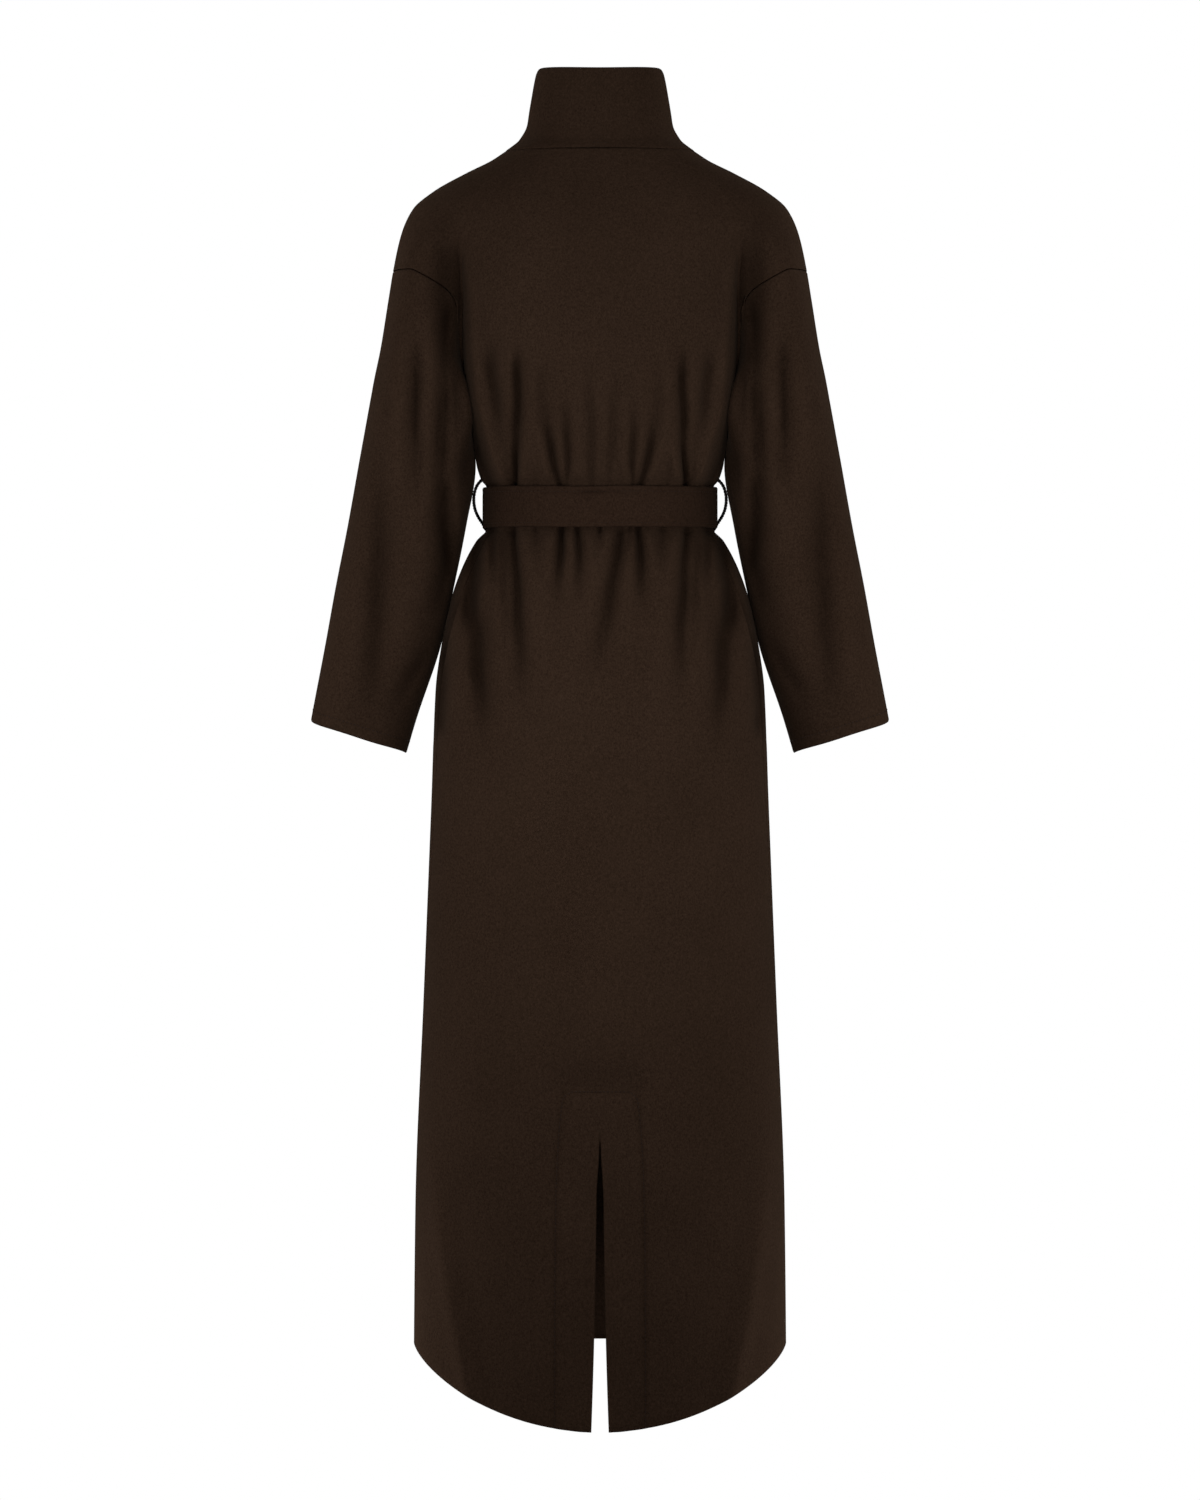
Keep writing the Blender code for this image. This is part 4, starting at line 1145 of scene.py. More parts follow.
@dataclass
class ClothMesh:
    """A grid of points on the outside of a piece of cloth, which gets its thickness inwards.

    Outward holds rough outward directions at the points, and push a depth at each point that the material
    turns into painted shade: how far creases draw the cloth in, with painted shadows added.
    """

    name: str
    points: Array
    thickness: float
    outward: Array
    push: Optional[Array] = None

    def border(self, keep: Array) -> Array:
        """Marks the points on the edge of the kept faces.

        Args:
            keep: Which faces of the grid are kept.

        Returns:
            True at each point that lies on an edge.
        """
        rows, columns = self.points.shape[:2]
        padded = np.zeros((rows + 1, columns + 1), dtype=int)
        padded[1:rows, 1:columns] = keep
        around = padded[:-1, :-1] + padded[1:, :-1] + padded[:-1, 1:] + padded[1:, 1:]
        return (around > 0) & (around < 4)

    def build(self, keep: Optional[Array] = None, closed: bool = False, dip: float = 0.0) -> bpy.types.Object:
        """Makes the piece.

        Args:
            keep: Which faces of the grid are kept, all where it is left out.
            closed: True where the last column meets the first.
            dip: How far the edges sink.

        Returns:
            The piece, with its thickness as a modifier.
        """
        rows, columns = self.points.shape[:2]
        kept = np.ones((rows - 1, columns - 1), dtype=bool) if keep is None else keep
        points = self.points.copy()
        if dip:
            edge = self.border(kept)
            if closed:
                edge[1:-1, 0] = False
                edge[1:-1, -1] = False
            points[edge] = points[edge] - self.outward[edge] * dip
        bm = bmesh.new()
        bmesh.ops.create_grid(bm, x_segments=columns - 1, y_segments=rows - 1, size=1.0)
        # Painted shade: each point's depth goes to the material as an attribute
        hollow = bm.verts.layers.float.new(SHADE_ATTRIBUTE)
        places = {
            vert: (round((vert.co.y + 1) / 2 * (rows - 1)), round((vert.co.x + 1) / 2 * (columns - 1)))
            for vert in bm.verts}
        dropped = [face for face in bm.faces if not kept[min(places[vert] for vert in face.verts)]]
        for vert, (row, column) in places.items():
            vert.co = points[row, column]
            if self.push is not None:
                vert[hollow] = self.push[row, column] / SHADE_DEPTH_UNIT
        middle = rows // 2, columns // 2
        bmesh.ops.delete(bm, geom=dropped, context="FACES")
        if closed:
            bmesh.ops.remove_doubles(bm, verts=bm.verts[:], dist=MERGE)
        bm.normal_update()
        bm.faces.ensure_lookup_table()
        probe = Vector(self.points[middle])
        nearest = min(bm.faces, key=lambda face: (face.calc_center_median() - probe).length_squared)
        if nearest.normal.dot(Vector(self.outward[middle])) < 0:
            bmesh.ops.reverse_faces(bm, faces=bm.faces[:])
        piece = link_mesh(self.name, bm)
        wall = piece.modifiers.new("thickness", "SOLIDIFY")
        wall.thickness = self.thickness
        wall.offset = -1.0
        wall.use_quality_normals = True
        return piece


def link_mesh(name: str, bm: bmesh.types.BMesh) -> bpy.types.Object:
    """Turns a bmesh into a smooth object at the origin.

    Args:
        name: The object's name.
        bm: The mesh, which is freed.

    Returns:
        The object.
    """
    mesh = bpy.data.meshes.new(name)
    bm.to_mesh(mesh)
    bm.free()
    mesh.shade_smooth()
    piece = bpy.data.objects.new(name, mesh)
    bpy.context.scene.collection.objects.link(piece)
    return piece


def grid_normals(points: Array, flip: float, closed: bool = False) -> Array:
    """Unit directions square to a grid of points.

    Args:
        points: Rows and columns of points.
        flip: 1 or -1, to turn them outwards.
        closed: True where the last column meets the first.

    Returns:
        The directions.
    """
    across = np.gradient(points, axis=1)
    if closed:
        across[:, 0] = across[:, -1] = (points[:, 1] - points[:, -2]) / 2
    return unit(np.cross(across, np.gradient(points, axis=0)) * flip)


@dataclass
class StitchRow:
    """A line of small stitches along a path on the cloth, with outward directions at the path's points."""

    path: Array
    normals: Array
    width: float = 0.00055
    length: float = 0.0030
    pitch: float = 0.0040
    height: float = 0.00038

    def add_to(self, bm: bmesh.types.BMesh) -> int:
        """Adds the stitches to a mesh.

        Args:
            bm: The mesh that takes them.

        Returns:
            How many were added.
        """
        run = np.concatenate(((0.0,), np.cumsum(np.linalg.norm(np.diff(self.path, axis=0), axis=1))))
        count = max(int(run[-1] / self.pitch), 1)
        for index in range(count):
            place = (index + 0.5) / count * run[-1]
            ends = [self.at(run, place + self.length * share) for share in (-0.5, 0.5)]
            along = (ends[1] - ends[0]).normalized()
            out = Vector([np.interp(place, run, self.normals[:, axis]) for axis in range(3)]).normalized()
            side = out.cross(along).normalized()
            out = along.cross(side)
            turn = Matrix((along, side, out)).transposed().to_4x4()
            sizes = Matrix.Diagonal((self.length / 2, self.width / 2, self.height, 1.0))
            spot = Matrix.Translation(self.at(run, place))
            bmesh.ops.create_uvsphere(bm, u_segments=6, v_segments=4, radius=1.0, matrix=spot @ turn @ sizes)
        return count

    def at(self, run: Array, place: float) -> Vector:
        """The point at a distance along the path."""
        return Vector([np.interp(place, run, self.path[:, axis]) for axis in range(3)])


def sew(name: str, rows: Sequence[StitchRow]) -> bpy.types.Object:
    """One piece of sewing from several rows of stitches.

    Args:
        name: The piece's name.
        rows: The rows.

    Returns:
        The piece.
    """
    bm = bmesh.new()
    total = sum(row.add_to(bm) for row in rows)
    LOG.info("%s: %d stitches", name, total)
    return link_mesh(name, bm)


@dataclass(frozen=True)
class Number:
    """A value in a shader that takes part in Python expressions."""

    tree: "NodeBench"
    socket: bpy.types.NodeSocket

    def combined(self, operation: str, first: object, second: object) -> "Number":
        """The result of a Math node on two numbers or wrapped values."""
        node = self.tree.node("ShaderNodeMath", {"operation": operation}, {0: first, 1: second})
        return Number(self.tree, node.outputs[0])

    def __add__(self, other: object) -> "Number":
        """This value and another."""
        return self.combined("ADD", self, other)

    __radd__ = __add__

    def __sub__(self, other: object) -> "Number":
        """This value less another."""
        return self.combined("SUBTRACT", self, other)

    def __rsub__(self, other: object) -> "Number":
        """Another value less this one."""
        return self.combined("SUBTRACT", other, self)

    def __mul__(self, other: object) -> "Number":
        """This value times another."""
        return self.combined("MULTIPLY", self, other)

    __rmul__ = __mul__


class NodeBench:
    """The node tree of one material."""

    def __init__(self, name: str) -> None:
        """Starts an empty material.

        Args:
            name: The material's name.
        """
        self.material = bpy.data.materials.new(name)
        self.material.use_nodes = True
        self.tree = self.material.node_tree
        self.tree.nodes.clear()

    def node(self, kind: str, settings: dict, sockets: dict) -> bpy.types.Node:
        """Adds a node.

        Args:
            kind: The node's type.
            settings: Its own settings, set first.
            sockets: Values or links of its inputs, by name, identifier or number.

        Returns:
            The node.
        """
        node = self.tree.nodes.new(kind)
        for key, value in settings.items():
            setattr(node, key, value)
        for key, value in sockets.items():
            socket = node.inputs[key] if isinstance(key, int) else self.find(node, key)
            source = value.socket if isinstance(value, Number) else value
            if isinstance(source, bpy.types.NodeSocket):
                self.tree.links.new(source, socket)
            else:
                socket.default_value = source
        return node

    @staticmethod
    def find(node: bpy.types.Node, key: str) -> bpy.types.NodeSocket:
        """The input of a node by identifier or name."""
        return next(socket for socket in node.inputs if key in (socket.identifier, socket.name))

    def place(self) -> bpy.types.NodeSocket:
        """Object coordinates."""
        return self.node("ShaderNodeTexCoord", {}, {}).outputs["Object"]

    def noise(
        self, vector: bpy.types.NodeSocket, scale: float, detail: float, roughness: float = 0.5
    ) -> Number:
        """A noise value about 0.5, by features for each metre, octaves and strength of the fine ones."""
        sockets = {"Vector": vector, "Scale": scale, "Detail": detail, "Roughness": roughness}
        return Number(self, self.node("ShaderNodeTexNoise", {}, sockets).outputs[0])

    def blend(self, factor: Number, first: Colour, second: Colour) -> bpy.types.NodeSocket:
        """Two colours mixed by a factor, 0 for the first and 1 for the second."""
        mix = self.node(
            "ShaderNodeMix", {"data_type": "RGBA", "clamp_factor": True},
            {"Factor_Float": factor, "A_Color": (*first, 1.0), "B_Color": (*second, 1.0)})
        return next(out for out in mix.outputs if out.identifier == "Result_Color")

    def close(self, shader: bpy.types.Node, swatch: Colour) -> bpy.types.Material:
        """Ends the tree.

        Args:
            shader: The node that shades the surface.
            swatch: The material's plain colour.

        Returns:
            The finished material.
        """
        self.node("ShaderNodeOutputMaterial", {}, {"Surface": shader.outputs[0]})
        self.material.diffuse_color = (*swatch, 1.0)
        return self.material


@dataclass(frozen=True)
class WoolFinish:
    """Brown double-faced wool with a short nap, its colour darkened in creases as painted shade and lightened
    on ridges as painted light.
    """

    name: str
    deep: Colour = (0.0160, 0.0091, 0.0056)
    pale: Colour = (0.0380, 0.0223, 0.0145)
    # Attribute values where the painted light on ridges and the painted shade in creases are full, and their
    # strengths
    ridge_at: float = -0.45
    ridge_shade: float = 0.10
    hollow_at: float = 1.6
    hollow_shade: float = 0.60
    roughness: float = 0.90
    felt_gloss: float = 0.12
    sheen: float = 0.02
    sheen_roughness: float = 0.42
    sheen_tint: Colour = (1.0, 0.78, 0.60)
    patches: float = 12.0
    patch_tone: float = 0.30
    felt: float = 420.0
    felt_tone: float = 1.30
    felt_height: float = 0.55
    fibres: float = 1300.0
    fibre_tone: float = 1.60
    fibre_height: float = 0.45
    nap_stretch: float = 0.42
    nap_height: float = 0.0005
    nap_strength: float = 0.35

    def material(self) -> bpy.types.Material:
        """Builds the material.

        Returns:
            The material, whose pattern follows Object coordinates.
        """
        bench = NodeBench(self.name)
        place = bench.place()
        sockets = {"Vector": place, "Scale": (1.0, 1.0, self.nap_stretch)}
        combed = bench.node("ShaderNodeMapping", {}, sockets).outputs[0]
        patches = bench.noise(place, self.patches, 2.0)
        felt = bench.noise(place, self.felt, 3.0, 0.62)
        fibres = bench.noise(combed, self.fibres, 2.0, 0.6)
        tone = 0.5 + (patches - 0.5) * self.patch_tone + (felt - 0.5) * self.felt_tone
        tone = tone + (fibres - 0.5) * self.fibre_tone
        # Painted shade and light: the colour is scaled darker where the cloth sinks in and lighter on ridges,
        # by the attribute
        hollow = bench.node("ShaderNodeAttribute", {"attribute_name": SHADE_ATTRIBUTE}, {}).outputs["Fac"]
        shade = bench.node("ShaderNodeMapRange", {"interpolation_type": "SMOOTHSTEP"}, {
            "Value": hollow, "From Min": self.ridge_at, "From Max": self.hollow_at,
            "To Min": 1 + self.ridge_shade, "To Max": 1 - self.hollow_shade})
        dim = bench.node("ShaderNodeVectorMath", {"operation": "SCALE"}, {
            "Vector": bench.blend(tone, self.deep, self.pale), "Scale": shade.outputs[0]})
        height = felt * self.felt_height + fibres * self.fibre_height
        bump = bench.node("ShaderNodeBump", {}, {
            "Strength": self.nap_strength, "Distance": self.nap_height, "Height": height})
        shader = bench.node("ShaderNodeBsdfPrincipled", {}, {
            "Base Color": dim.outputs[0],
            "Roughness": self.roughness + (felt - 0.5) * self.felt_gloss,
            "Normal": bump.outputs[0],
            "Specular IOR Level": 0.0,
            "Sheen Weight": self.sheen,
            "Sheen Roughness": self.sheen_roughness,
            "Sheen Tint": (*self.sheen_tint, 1.0),
        })
        return bench.close(shader, self.pale)


@dataclass(frozen=True)
class ThreadFinish:
    """Sewing or crochet thread."""

    name: str
    colour: Colour
    fleck: Colour
    roughness: float = 0.7
    strand_gloss: float = 0.1
    specular: float = 0.1
    twist: float = 1800.0
    twist_height: float = 0.0002
    twist_strength: float = 0.3

    def material(self) -> bpy.types.Material:
        """Builds the material.

        Returns:
            The material.
        """
        bench = NodeBench(self.name)
        strand = bench.noise(bench.place(), self.twist, 2.0)
        bump = bench.node("ShaderNodeBump", {}, {
            "Strength": self.twist_strength, "Distance": self.twist_height, "Height": strand})
        shader = bench.node("ShaderNodeBsdfPrincipled", {}, {
            "Base Color": bench.blend(strand, self.colour, self.fleck),
            "Roughness": self.roughness + (strand - 0.5) * self.strand_gloss,
            "Normal": bump.outputs[0],
            "Specular IOR Level": self.specular,
        })
        return bench.close(shader, self.colour)


@dataclass
class Wardrobe:
    """The coat's form and finishes, shared by its pieces."""

    form: CoatForm
    wool: bpy.types.Material
    belt_wool: bpy.types.Material
    tonal_thread: bpy.types.Material
    black_thread: bpy.types.Material

    def dress(
        self, piece: bpy.types.Object, material: bpy.types.Material, slot: Slot, *nodes: str
    ) -> bpy.types.Object:
        """Gives a piece its finish and its place in the frame.

        Args:
            piece: The piece.
            material: Its material.
            slot: The record's slot.
            nodes: The solids that it stands for.

        Returns:
            The same piece.
        """
        piece.data.materials.append(material)
        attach(piece, BODY)
        if nodes:
            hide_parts(*nodes)
        LOG.info("%s dressed as %s", piece.name, slot.value)
        return piece


def edged(count: int, edge: float) -> Array:
    """A count of even steps from 0 to 1, with one more close to each end."""
    inner = np.linspace(0, 1, count + 1)[1:-1]
    return np.concatenate(((0.0, edge), inner, (1 - edge, 1.0)))


@dataclass
class BodyPanels:
    """The back and the two fronts."""

    wardrobe: Wardrobe
    torso_columns: int = 86
    arm_columns: int = 34
    slit_rows: int = 26
    thigh_rows: int = 10
    skirt_levels: tuple[float, ...] = (-0.860, -0.620, -0.3845, -0.343, -0.232)
    skirt_rows: tuple[int, ...] = (18, 62, 11, 38)
    upper_rows: int = 54
    upper_edge: float = 0.007
    edge: float = 0.0016
    dip: float = 0.0006
    arm_edge: float = 0.012
    arm_crowding: float = 1.4
    arm_ends: tuple[float, float] = (0.985, 1.0)
    notch_steps: tuple[float, ...] = (-0.8, -0.6, -0.4, -0.2, 0.0, 0.25, 0.5, 0.75)
    wrap_columns: int = 16
    wrap_edge: float = 0.02
    slit_depth: float = 0.15
    slit_step: float = 0.006
    facing_reach: float = 0.18
    facing_columns: int = 14
    facing_edge: float = 0.02
    facing_low_edge: float = 0.006
    facing_top_edge: float = 0.04
    facing_top_rows: int = 8
    facing_hem: float = 0.004
    stitch_hem: float = 0.006
    stitch_width: float = 0.0011
    near: float = 0.002

    @property
    def slit_edge(self) -> float:
        """The place of the slit's edge on the section."""
        return S.slit_start_gap / 2 / self.slit_depth / (pi / 2)

    def arm_steps(self) -> Array:
        """Steps from the arm fold to the outer edge, closer near the fold."""
        steps = edged(self.arm_columns, self.arm_edge)[:-2]
        return np.concatenate((steps ** self.arm_crowding, self.arm_ends))

    def half_columns(self) -> Array:
        """Places from the centre to the shoulder ridge on one half of the body.

        Returns:
            The places, without the centre.
        """
        torso = np.linspace(0, 1 - S.fold_notch, self.torso_columns)[1:]
        notch = 1 + S.fold_notch * np.array(self.notch_steps)
        lobe = 1 + S.fold_notch + (1 - S.fold_notch) * self.arm_steps()
        return np.concatenate((torso, notch, lobe))

    def levels(self, columns: Array, hem: Array) -> tuple[Array, int, Array]:
        """Heights of a body panel below its upper rows.

        Args:
            columns: Places of the columns.
            hem: Height of the hem at each column.

        Returns:
            The heights, the row at the top of the slit, and the height where each column's upper rows start.
        """
        centre_hem = S.hem_side - S.hem_back_drop
        slit_share = (S.slit_top - centre_hem) / (S.knee - centre_hem)
        edge = self.edge / (S.knee - centre_hem)
        low = np.concatenate((
            (0.0, edge),
            np.linspace(0, slit_share, self.slit_rows + 1)[1:],
            np.linspace(slit_share, 1, self.thigh_rows + 1)[1:]))
        rows = [between(hem, S.knee, step) for step in low]
        for start, end, count in zip(self.skirt_levels, self.skirt_levels[1:], self.skirt_rows):
            for level in np.linspace(start, end, count + 1)[1:]:
                rows.append(np.full_like(columns, level))
        reach = np.abs(columns)
        start = np.where(reach > 1, self.wardrobe.form.armhole_start(reach), S.underarm)
        rows[-1] = start
        return np.array(rows), self.slit_rows + 1, start

    def upper_levels(self, start: Array, neck: Reals) -> Array:
        """Heights of a body panel's upper rows, from each column's start to the collar seam."""
        return np.array([between(start, neck, part) for part in edged(self.upper_rows, self.upper_edge)[1:]])

    def wrapped(self, columns: Array, in_wrap: Array, z: Array) -> Array:
        """Places of a front's columns, those of the wrap spread to its breadth at a height."""
        return np.where(in_wrap, columns * self.wardrobe.form.wrap_place(z), columns)

    @staticmethod
    def keep(columns: Array, rows: int, first_upper: int) -> Array:
        """Marks the faces of a body panel, without those below the armhole.

        Args:
            columns: Places of the columns.
            rows: How many rows of points there are.
            first_upper: The row where the upper part starts.

        Returns:
            True for each kept face.
        """
        reach = np.abs(columns)
        kept = np.ones((rows - 1, len(columns) - 1), dtype=bool)
        kept[:first_upper, np.maximum(reach[:-1], reach[1:]) > 1 + FOLD_MARGIN] = False
        return kept

    def build_back(self) -> bpy.types.Object:
        """The one-piece back with its slit and curved hem.

        Returns:
            The piece.
        """
        form = self.wardrobe.form
        half = self.half_columns()
        slit = self.slit_edge + np.array((0.0, self.slit_step))
        columns = np.unique(np.concatenate((-half, -slit, slit, half)))
        low, slit_row, start = self.levels(columns, form.hem_back(columns))
        levels = np.concatenate((low, self.upper_levels(start, -S.seam_gap / 2)))
        points, push = form.back_shape(np.broadcast_to(columns, levels.shape), levels)
        kept = self.keep(columns, len(levels), len(low) - 1)
        kept[:slit_row, np.searchsorted(columns, 0.0) - 1] = False
        # Painted shadows along the facing's outline and under the belt, added to the depth that sets painted
        # shade
        push = push + FACING.shade(points[..., 0], points[..., 2]) + belt_shade(points[..., 2])
        cloth = ClothMesh("back_cloth", points, S.cloth, grid_normals(points, -1), push)
        piece = cloth.build(kept, dip=self.dip)
        return self.wardrobe.dress(piece, self.wardrobe.wool, Slot.WOOL, "back")

    def build_front(self, side: Side, over: float) -> bpy.types.Object:
        """One front, from the side seam and shoulder round past the centre front.

        Args:
            side: Which front.
            over: 1 for the front that lies on top, else 0.

        Returns:
            The piece.
        """
        form = self.wardrobe.form
        half = self.half_columns()
        wrap = edged(self.wrap_columns, self.wrap_edge) * 2 - 1
        columns = np.concatenate((wrap, half[half > S.wrap_clear]))
        in_wrap = np.arange(len(columns)) < len(wrap)
        hem_place = np.abs(self.wrapped(columns, in_wrap, np.array(S.hem_side)))
        hem = S.hem_side - S.hem_front_drop * np.cos(pi / 2 * np.clip(hem_place, 0, 1))
        grid_columns = np.where(in_wrap, 0, columns)
        low, _, start = self.levels(grid_columns, hem)
        neck_place = self.wrapped(columns, in_wrap, np.array(-S.neck_front_drop))
        neck = form.neck_level(neck_place, -1.0) - S.seam_gap / 2
        levels = np.concatenate((low, self.upper_levels(start, neck)))
        places = self.wrapped(columns, in_wrap, levels)
        points, push = form.front_shape(places, levels, side.value, over)
        node = f"front_{side.word}"
        push = push + belt_shade(points[..., 2])
        cloth = ClothMesh(f"{node}_cloth", points, S.cloth, grid_normals(points, side.value), push)
        piece = cloth.build(self.keep(grid_columns, len(levels), len(low) - 1), dip=self.dip)
        return self.wardrobe.dress(piece, self.wardrobe.wool, Slot.WOOL, node)

    def build_facing(self) -> bpy.types.Object:
        """The U-shaped facing behind the slit.

        Returns:
            The piece.
        """
        form = self.wardrobe.form
        half = between(self.slit_edge, self.facing_reach, edged(self.facing_columns, self.facing_edge))
        columns = np.concatenate((-half[::-1], half))
        hem = form.hem_back(columns) + self.facing_hem
        low = [between(hem, S.slit_top, step) for step in edged(self.slit_rows, self.facing_low_edge)]
        steps = edged(self.facing_top_rows, self.facing_top_edge)[1:]
        levels = np.array(low + [between(S.slit_top, S.facing_top, step) + 0 * columns for step in steps])
        face = form.back_shape(np.broadcast_to(columns, levels.shape), levels)[0]
        normals = grid_normals(face, -1)
        points = face - normals * (S.cloth + S.nudge + FACING.rise)
        kept = np.ones((levels.shape[0] - 1, levels.shape[1] - 1), dtype=bool)
        kept[:len(low) - 1, len(half) - 1] = False
        piece = ClothMesh("slit_facing_cloth", points, S.facing_cloth, normals).build(kept)
        return self.wardrobe.dress(piece, self.wardrobe.wool, Slot.WOOL, "slit_facing")

    def sew_slit(self) -> bpy.types.Object:
        """The stitch line round the slit, an upturned U.

        Returns:
            The sewing.
        """
        form = self.wardrobe.form
        hem = S.hem_side - S.hem_back_drop + self.stitch_hem
        down = between(S.facing_top, hem, np.linspace(0, 1, 240) ** 2)
        side = FACING.line(down)
        top = np.linspace(-side[0], side[0], 24)[1:-1]
        x = np.concatenate((-side[::-1], top, side))
        z = np.concatenate((down[::-1], np.full_like(top, S.facing_top), down))
        lifted = form.back_face(x, z + self.near) - form.back_face(x, z - self.near)
        across = form.back_face(x + self.near, z) - form.back_face(x - self.near, z)
        normals = unit(np.cross(lifted, across))
        normals = np.where(normals[:, 1:2] < 0, -normals, normals)
        piece = sew("slit_stitches", [StitchRow(form.back_face(x, z), normals, self.stitch_width)])
        return self.wardrobe.dress(piece, self.wardrobe.tonal_thread, Slot.WOOL)


@dataclass
class Sleeves:
    """The two dropped sleeves with their stitched cuffs."""

    wardrobe: Wardrobe
    panels: BodyPanels
    rows: int = 110
    edge: float = 0.0035
    dip: float = 0.0006
    cuff_stitch: float = 0.0115
    stitch_width: float = 0.0009
    near: float = 0.002

    def build(self, side: Side) -> bpy.types.Object:
        """One sleeve, open at the armhole and the cuff.

        Args:
            side: Which sleeve.

        Returns:
            The piece.
        """
        form = self.wardrobe.form
        steps = self.panels.arm_steps()
        columns = np.concatenate((steps, 2 - steps[-2::-1]))
        place = np.where(columns <= 1, columns, 2 - columns)
        top = form.armhole_level(place) - form.armhole_gap(place) / 2
        cuff = self.cuff(place)
        levels = np.array([between(top, cuff, part) for part in edged(self.rows, self.edge)])
        places = np.broadcast_to(columns, levels.shape)
        points, push = form.sleeve_shape(places, levels, side)
        normals = grid_normals(points, side.value, closed=True)
        node = f"sleeve_{side.word}"
        cloth = ClothMesh(f"{node}_cloth", points, S.cloth, normals, push)
        piece = cloth.build(closed=True, dip=self.dip)
        return self.wardrobe.dress(piece, self.wardrobe.wool, Slot.WOOL, node)

    @staticmethod
    def cuff(place: Array) -> Array:
        """Height of the cuff's edge from the inner seam (0) to the outer edge (1)."""
        slanted = between(S.cuff_inner, S.cuff_outer, (1 - np.cos(pi * place)) / 2)
        return slanted - S.cuff_bulge * np.sin(pi * place)

    def sew_cuff(self, side: Side) -> bpy.types.Object:
        """The stitch line above the cuff's edge.

        Args:
            side: Which sleeve.

        Returns:
            The sewing.
        """
        form = self.wardrobe.form
        columns = np.linspace(0.0, 2.0, 181)
        level = self.cuff(np.where(columns <= 1, columns, 2 - columns)) + self.cuff_stitch
        rows = np.array([level - self.near, level, level + self.near])
        points = form.sleeve_shape(np.broadcast_to(columns, rows.shape), rows, side)[0]
        normals = grid_normals(points, -side.value, closed=True)[1]
        piece = sew(f"cuff_stitches_{side.word}", [StitchRow(points[1], normals, self.stitch_width)])
        return self.wardrobe.dress(piece, self.wardrobe.tonal_thread, Slot.WOOL)


@dataclass
class Collar:
    """The funnel collar, its right end lying over its left."""

    wardrobe: Wardrobe
    columns: int = 220
    rows: int = 30
    edge: float = 0.015
    end_edge: float = 0.002
    dip: float = 0.0005
    # Painted shade: the whole collar's colour darker by this depth
    shade: float = 0.0024
    roll: float = 0.0009
    roll_wide: float = 0.06
    groove: tuple[float, float] = (0.125, 0.035)
    front_share: float = 0.6
    swell: float = 0.0010
    swell_across: tuple[float, float] = (0.42, 0.10)
    swell_up: tuple[float, float] = (0.38, 0.16)
    neck_radius: float = 0.064
    tack_width: float = 0.015
    tack_rows: tuple[tuple[float, float], ...] = ((0.010, 1.0), (0.0045 / S.collar_top, 1.0), (0.10, 0.55))

    def surface(self, places: Array, parts: Array) -> Array:
        """The collar's outside with the turned seam at its foot.

        Args:
            places: Places round the neck.
            parts: Shares of the height.

        Returns:
            The points.
        """
        points = self.wardrobe.form.collar(places, parts)
        reach = np.abs(places)
        roll = self.roll * (bell(parts, 0.0, self.roll_wide) - bell(parts, *self.groove))
        swell = self.swell * bell(reach, *self.swell_across) * bell(parts, *self.swell_up)
        rise = roll * np.where(reach < 1, 1.0, self.front_share) + swell
        plan = points[..., 0], points[..., 1]
        points[..., 0], points[..., 1] = moved(*plan, plan, rise)
        return points

    def build(self) -> bpy.types.Object:
        """The collar.

        Returns:
            The piece.
        """
        reach = 2 + self.wardrobe.form.wrap_place(np.array(-S.neck_front_drop)) / 2
        columns = (edged(self.columns, self.end_edge) * 2 - 1) * reach
        parts = edged(self.rows, self.edge)
        places, heights = np.meshgrid(columns, parts)
        points = self.surface(places, heights)
        # Painted shade over the whole collar
        shade = np.full(places.shape, self.shade)
        cloth = ClothMesh("collar_cloth", points, S.cloth, grid_normals(points, -1), shade)
        piece = cloth.build(dip=self.dip)
        return self.wardrobe.dress(piece, self.wardrobe.wool, Slot.WOOL, "collar")

    def sew_tack(self) -> bpy.types.Object:
        """The small bar of stitches at the centre of the collar seam.

        Returns:
            The sewing.
        """
        rows = []
        for part, share in self.tack_rows:
            reach = self.tack_width * share / self.neck_radius / pi
            places = np.linspace(-reach, reach, 9)
            points = self.surface(places, np.full_like(places, part))
            rows.append(StitchRow(points, np.broadcast_to(np.array((0.0, 1.0, 0.0)), points.shape)))
        piece = sew("collar_tack", rows)
        return self.wardrobe.dress(piece, self.wardrobe.tonal_thread, Slot.WOOL)


@dataclass(frozen=True)
class KnotShape:
    """How a block of cloth is drawn into the knot, in shares of its half sizes."""

    cuts: int = 31
    fill: float = 1.14
    rounding: float = 0.30
    swell_across: float = 0.42
    swell_up: float = 0.35
    pinch: float = 0.16
    slant: float = 0.16
    wrap_half: float = 0.62
    wrap_soft: float = 0.12
    wrap_rise: float = 0.16
    wrap_tall: float = 0.10
    fold: float = 0.05
    tuck: float = 0.09

    def place(self, x: float, y: float, z: float) -> tuple[float, float, float]:
        """Where a point of the block comes to lie.

        Args:
            x: Place across, from -1 to 1.
            y: Place in depth, 1 at the foot and -1 at the front.
            z: Place in height, from -1 to 1.

        Returns:
            The shares of the half width, the depth and the half height.
        """
        fill = self.fill * (1 + self.rounding * (x * x + z * z)) ** -0.5
        lean = x - self.slant * z
        wrap = float(ease(np.array((self.wrap_half - abs(lean)) / self.wrap_soft + 0.5)))
        fold = self.fold * np.cos(9.0 * lean + 1.3 * z) * wrap
        tuck = self.tuck * np.cos(8.5 * z + 1.5 * abs(x)) * (1 - wrap)
        swell = (1 - self.swell_across * x * x) * (1 - self.swell_up * z * z)
        depth = swell * (1 - self.wrap_rise * (1 - wrap) + fold + tuck)
        wide = fill * x * (1 - self.pinch * (1 - z * z))
        return wide, depth * (1 - y) / 2, fill * z * (1 - self.wrap_tall * (1 - wrap))


RIPPLE = ((3, 0.6, 0.5), (7, 1.9, 0.3), (13, 0.0, 0.2))


